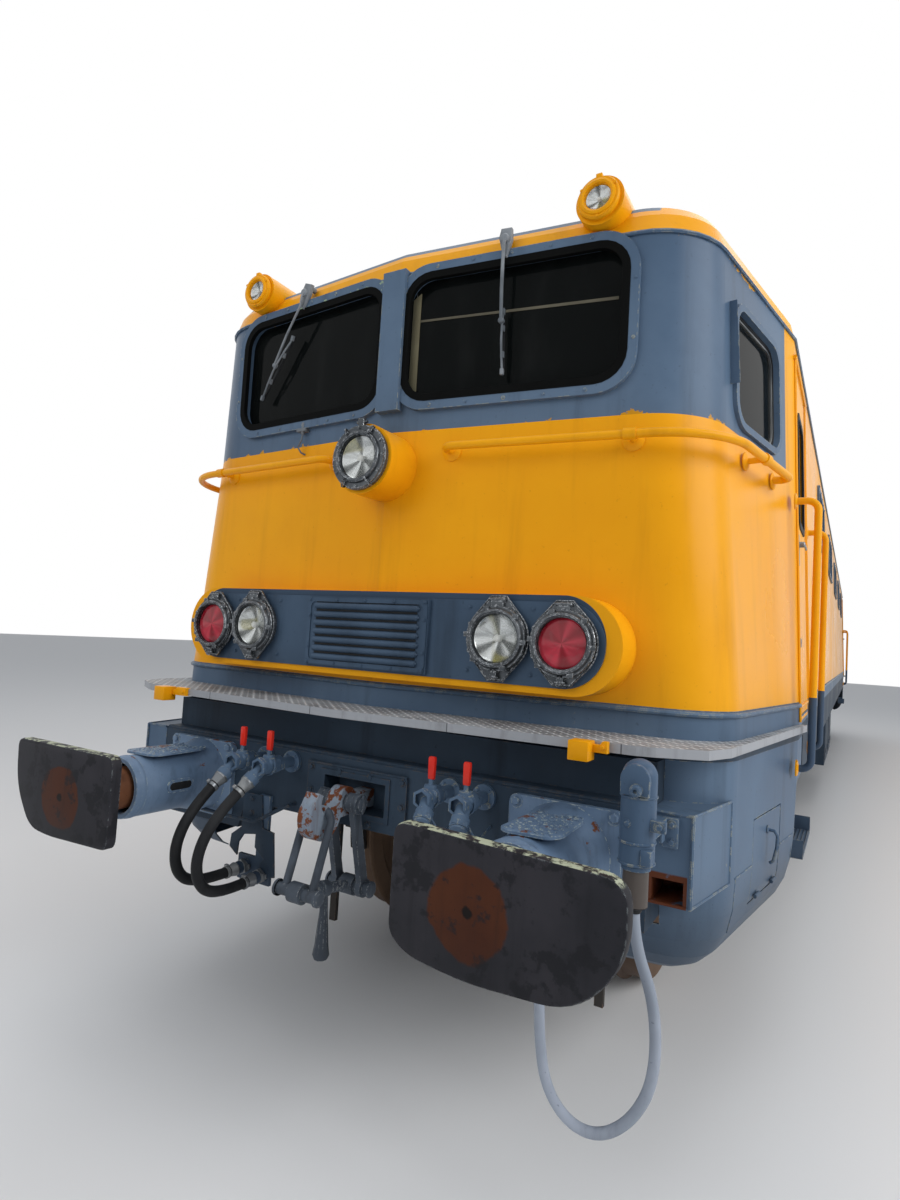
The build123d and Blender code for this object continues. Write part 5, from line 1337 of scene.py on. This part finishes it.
# Cab side windows: pane, rubber seal and thin metal sash set back in the frame, and a wind deflector
WINDOW_MID = (-8.045, 2.8775)
DEFLECTOR_Y = -8.352
pane, seal, sash, screen = Kit(), Kit(), Kit(), Kit()
for side in (1, -1):
    foot, head = (Vector((side * (cab_wall(DEFLECTOR_Y, z) - 0.002), DEFLECTOR_Y, z)) for z in (2.775, 3.095))
    out = Vector((side * 0.036, -0.006, 0))
    corners = [foot, foot + out, foot + out + Vector((0, 0, 0.02)), head + out * 0.8, head]
    screen.sheet(corners, Vector((0, 0.005, 0)))
    y, z = WINDOW_MID
    x = cab_wall(y, z)
    along = Vector((side * (cab_wall(y - 0.1, z) - x), -0.1, 0)).normalized()
    up = Vector((side * (cab_wall(y, z + 0.1) - x), 0, 0.1)).normalized()
    out = along.cross(up) * -side
    mid = Vector((side * x, y, z)) - out * 0.020
    pane.prism(rounded(0.525, 0.451, 0.084), mid - out * 0.006, 0.006, 0, out, along)
    seal.rim(0.523, 0.449, 0.083, 0.015, mid, 0.010, out, along)
    sash.rim(0.493, 0.419, 0.068, 0.009, mid, 0.007, out, along)
pane.done("cab_window_panes", WINDOW)
seal.done("cab_window_seals", RUBBER)
sash.done("cab_window_sashes", STEEL)
screen.done("wind_deflectors", BLUE_GREY)


# Machine-room windows: seals and screws, and louvre slats over the two outer ones
VENTS_Y, VENT_Z = (-4.700, -2.350, 0.0, 2.350, 4.700), 2.880
seal, slats, screws = Kit(), Kit(), Kit()
for y in VENTS_Y:
    x = side_x(VENT_Z)
    seal.rim(0.944, 0.304, 0.036, 0.016, (x - 0.012, y, VENT_Z), 0.008, OUT, BACK, 0.026)
    places = [(dy, dz) for dy in (-0.49, -0.245, 0, 0.245, 0.49) for dz in (0.196, -0.196)]
    for dy, dz in places + [(-0.515, 0), (0.515, 0)]:
        screws.bolt((side_x(VENT_Z + dz) + 0.0155, y + dy, VENT_Z + dz), 0.006, OUT)
    if abs(y) > 4:
        for i in range(9):
            z = VENT_Z - 0.128 + 0.032 * i
            m = Matrix.Translation((side_x(z) - 0.010, y, z)) @ Matrix.Rotation(radians(38), 4, "Y")
            slats.box((-0.017, -0.455, -0.0015), (0.017, 0.455, 0.0015), 0.0007, m)
seal.done("vent_seals", RUBBER)
slats.done("vent_slats", BLUE_GREY)
screws.done("vent_screws", BLUE_GREY)


# Bogies: coil springs on their seats, axle-box covers with bolts, guides
SPRING_X, SPRING_FOOT, SPRING_GAP = 1.055, 0.566, 0.235
BOX_FACE_X = 1.191
SPRING_SEAT = ((0.040, 0), (0.076, 0), (0.076, 0.008), (0.040, 0.010))
COVER_RING = ((0.111, -0.012), (0.116, -0.009), (0.116, -0.003), (0.110, 0.002), (0.104, -0.006))
COVER_CAP = ((0.052, -0.002), (0.050, 0.004), (0.040, 0.007), (0.012, 0.008), (0, 0.008))
for e, body in ((-1, "bogie_front"), (1, "bogie_rear")):
    spring, k = Kit(), Kit()
    for i in (-1, 0, 1):
        y = e * BOGIE_Y + i * AXLE_PITCH
        for s in (1, -1):
            for dy in (-SPRING_GAP, SPRING_GAP):
                spring.coil((s * SPRING_X, y + dy, SPRING_FOOT), 0.272, 0.060, 0.0135, 5.5)
                k.lathe(SPRING_SEAT, (s * SPRING_X, y + dy, SPRING_FOOT - 0.0075), UP)
            k.lathe(COVER_RING, (s * BOX_FACE_X, y, AXLE_Z), (s, 0, 0), 32, True)
            k.lathe(COVER_CAP, (s * (BOX_FACE_X + 0.011), y, AXLE_Z), (s, 0, 0))
            for dy, _, dz in around((0, 0, 0), 0.090, range(0, 360, 60)):
                k.bolt((s * (BOX_FACE_X + 0.001), y + dy, AXLE_Z + dz), n=(s, 0, 0))
            for c in (y - 0.140, y + 0.140):
                k.box((s * 1.120, c - 0.014, AXLE_Z + 0.08), (s * 1.168, c + 0.014, AXLE_Z + 0.20), 0.004)
    spring.done(body + "_springs", RUNNING, body, ends=False)
    k.done(body + "_box_trim", RUNNING, body, ends=False)


# Underfloor boxes: lids with latches and hinges; air tanks: bands and domed ends
BOX_X, LID_Z = 1.400, 0.840
TANK_X, TANK_Z = 0.36, 0.90
TANK_END = ((0.230, 0), (0.215, 0.026), (0.160, 0.050), (0.080, 0.064), (0.028, 0.067), (0.028, 0.080),
            (0, 0.082))
TANK_BAND = ((0.229, -0.02), (0.234, -0.02), (0.234, 0.02), (0.229, 0.02))
k, t = Kit(), Kit()
for s in (1, -1):
    for y0, y1 in ((-1.150, -0.060), (0.060, 1.150)):
        w = (y1 - y0 - 0.08) / 2
        for c in (y0 + 0.04 + w / 2, y1 - 0.04 - w / 2):
            lid = rounded(w - 0.03, 0.60, 0.02, 3)
            k.prism(lid, (s * BOX_X, c, LID_Z), 0.006, 0.002, (s, 0, 0), BACK)
            for z in (LID_Z - 0.20, LID_Z + 0.20):
                k.box((s * BOX_X, c - 0.020, z - 0.030), (s * (BOX_X + 0.014), c + 0.020, z + 0.030))
            for y in (c - w / 2 + 0.04, c + w / 2 - 0.04):
                k.rod((s * 1.410, y, 1.125), (s * 1.410, y, 1.160), 0.009)
    for y in (-0.77, 0.77, -0.30, 0.30):
        t.lathe(TANK_BAND, (s * TANK_X, y, TANK_Z), BACK, 40, True)
    for d in (1, -1):
        t.lathe(TANK_END, (s * TANK_X, d * 1.100, TANK_Z), (0, d, 0), 40)
k.done("box_lids", DARK_GREY_SHADED, ends=False)
t.done("tank_bands", DARK_GREY_SHADED, ends=False)


# Roof: seams, lifting eyes, walkway boards beside the pantographs
ROOF_LINE = ((1.330, 3.415), (1.150, 3.475), (0.800, 3.560), (0.400, 3.620), (0.0, 3.620))
SEAMS_Y, EYES_Y = (-6.40, -3.90, -1.30, 1.30, 3.90, 6.40), (-5.85, -3.05, 3.05, 5.85)
COVERS_Y = ((-4.25, -2.95), (-2.85, -1.55), (-1.25, 1.25), (1.55, 2.85), (2.95, 4.25))
COVER_HANDLE = ((-0.09, 3.650), (-0.085, 3.676), (-0.06, 3.684), (0.06, 3.684), (0.085, 3.676), (0.09, 3.650))


def roof_z(x):
    """Height of the roof at a distance from its middle."""
    for (xa, za), (xb, zb) in zip(ROOF_LINE, ROOF_LINE[1:]):
        if abs(x) >= xb:
            return za + (zb - za) * (xa - abs(x)) / (xa - xb)
    return ROOF_LINE[-1][1]


k, boards = Kit(), Kit()
for y in SEAMS_Y:
    breaks = (-1.31, -1.150, -0.800, -0.400, 0.400, 0.800, 1.150, 1.31)
    k.sweep([(x, y, roof_z(x) + 0.002) for x in breaks], 0.009, flat=2.2)
for y in EYES_Y:
    for s in (1, -1):
        k.coil((s * 1.05, y, roof_z(1.05) + 0.035), 0.001, 0.034, 0.009, 1.0, BACK)
for e in (1, -1):
    for s in (1, -1):
        for i in range(3):
            x = s * (0.500 + i * 0.085)
            boards.box((x, e * 4.20, roof_z(x) + 0.030), (x + s * 0.070, e * 6.20, roof_z(x) + 0.052), 0.004)
        for y in (e * 4.40, e * 5.00, e * 5.60, e * 6.10):
            low, high = roof_z(0.56) - 0.02, roof_z(0.62) + 0.034
            boards.box((s * 0.500, y - 0.02, low), (s * 0.740, y + 0.02, high))
# raised covers: a bolt row on each long edge and a pull handle at each end
for y0, y1 in COVERS_Y:
    count = round((y1 - y0) / 0.24)
    for x in (-0.352, 0.352):
        for i in range(count):
            k.bolt((x, y0 + (i + 0.5) * (y1 - y0) / count, 3.652), 0.009, UP)
    for y in (y0 + 0.07, y1 - 0.07):
        k.sweep([(x, y, z) for x, z in COVER_HANDLE], 0.006)
for y in (-3.6, -1.0, 1.0, 3.6):
    boards.box((-0.030, y - 0.022, 3.806), (0.030, y + 0.022, 3.844), 0.004)
k.done("roof_seams", ROOF_GREY, ends=False)
boards.done("roof_boards", ROOF_GREY, ends=False)


# Pantographs: contact strips with bolts on their sides, and the raising springs
PANTO_Y, HEAD_Z, SPRING_Z = 5.2, 3.900 + 2.2 * sin(radians(5)), 3.870
for e, tag in ((-1, "front"), (1, "rear")):
    y0 = e * PANTO_Y
    strips, base = Kit(), Kit()
    for y in (y0 - 0.15, y0 + 0.15):
        strips.box((-0.50, y - 0.0235, HEAD_Z + 0.0900), (0.50, y + 0.0235, HEAD_Z + 0.1002), 0.002)
        for x in (-0.45, -0.15, 0.15, 0.45):
            for out in (-1, 1):
                strips.bolt((x, y + out * 0.0218, HEAD_Z + 0.082), 0.005, (0, out, 0))
    strips.done("panto_" + tag + "_strips", COPPER, "panto_" + tag + "_head", ends=False)
    for s in (1, -1):
        x = s * 0.15
        base.coil((x, y0 - 0.52, SPRING_Z), 0.36, 0.026, 0.006, 20, BACK)
        for near, far in ((-0.62, -0.50), (-0.17, -0.02)):
            base.rod((x, y0 + near, SPRING_Z), (x, y0 + far, SPRING_Z), 0.010)
        for near, far in ((-0.650, -0.610), (-0.030, 0.010)):
            base.box((x - 0.02, y0 + near, 3.845), (x + 0.02, y0 + far, 3.890))
        for dy in (-0.268, -0.232, 0.232, 0.268):
            base.bolt((s * 0.342, y0 + dy, 3.872), 0.007, (s, 0, 0))
    base.done("panto_" + tag + "_base_trim", PANTO, ends=False)


# Crew steps: ribs across the tread and the fixing bolts of the back plate
k = Kit()
for side in (1, -1):
    for i in range(6):
        x = side * (1.422 + i * 0.017)
        k.sweep([(x, -7.410, 0.8705), (x, -6.870, 0.8705)], 0.0035, 4)
    for y in (-7.36, -7.14, -6.92):
        k.bolt((side * 1.410, y, 0.935), 0.008, (side, 0, 0))
k.done("crew_step_ribs", DARK_GREY_SHADED)


# Stage, light and background
FLOOR_HALF = 60
FLOOR_TONE = (0.78, 0.78, 0.78, 1)
SKY_TONE, SKY_STRENGTH = (0.80, 0.84, 0.90, 1), 0.45


def stage_floor():
    me = bpy.data.meshes.new("floor")
    s = FLOOR_HALF
    me.from_pydata([(-s, -s, 0), (s, -s, 0), (s, s, 0), (-s, s, 0)], [], [(0, 1, 2, 3)])
    material = bpy.data.materials.new("floor_look")
    material.use_nodes = True
    bsdf = material.node_tree.nodes["Principled BSDF"]
    bsdf.inputs["Base Color"].default_value = FLOOR_TONE
    bsdf.inputs["Roughness"].default_value = 0.9
    me.materials.append(material)
    link_object("floor", me)


def area_light(name, place, target, size, power, mirrored=True):
    data = bpy.data.lights.new(name, "AREA")
    data.shape = "RECTANGLE"
    data.size, data.size_y = size
    data.energy = power
    ob = link_object(name, data)
    ob.location = place
    ob.rotation_euler = (Vector(target) - Vector(place)).to_track_quat("-Z", "Y").to_euler()
    ob.visible_glossy = mirrored


def sky():
    """Plain pale light, with white where the camera, a reflection or glass looks at it."""
    world = bpy.data.worlds.new("world")
    bpy.context.scene.world = world
    world.use_nodes = True
    nodes, links = world.node_tree.nodes, world.node_tree.links
    light = nodes["Background"]
    light.inputs["Color"].default_value = SKY_TONE
    light.inputs["Strength"].default_value = SKY_STRENGTH
    white = nodes.new("ShaderNodeBackground")
    white.inputs["Color"].default_value = (1, 1, 1, 1)
    rays = nodes.new("ShaderNodeLightPath").outputs
    seen = rays["Is Camera Ray"]
    for ray in ("Is Glossy Ray", "Is Transmission Ray"):
        most = nodes.new("ShaderNodeMath")
        most.operation = "MAXIMUM"
        links.new(seen, most.inputs[0])
        links.new(rays[ray], most.inputs[1])
        seen = most.outputs[0]
    either = nodes.new("ShaderNodeMixShader")
    for output, socket in zip((seen, light.outputs[0], white.outputs[0]), either.inputs):
        links.new(output, socket)
    links.new(either.outputs[0], nodes["World Output"].inputs["Surface"])


stage_floor()
area_light("side_light", (9.0, -9.0, 6.0), (1.2, -8.2, 1.8), (7, 5), 560)
area_light("front_light", (-3.5, -17.0, 6.5), (0, -8.8, 1.8), (8, 5), 290, False)
area_light("top_light", (0, -2.0, 12.0), (0, -2, 0), (10, 22), 750)
sky()
bpy.context.scene.view_settings.view_transform = "Standard"
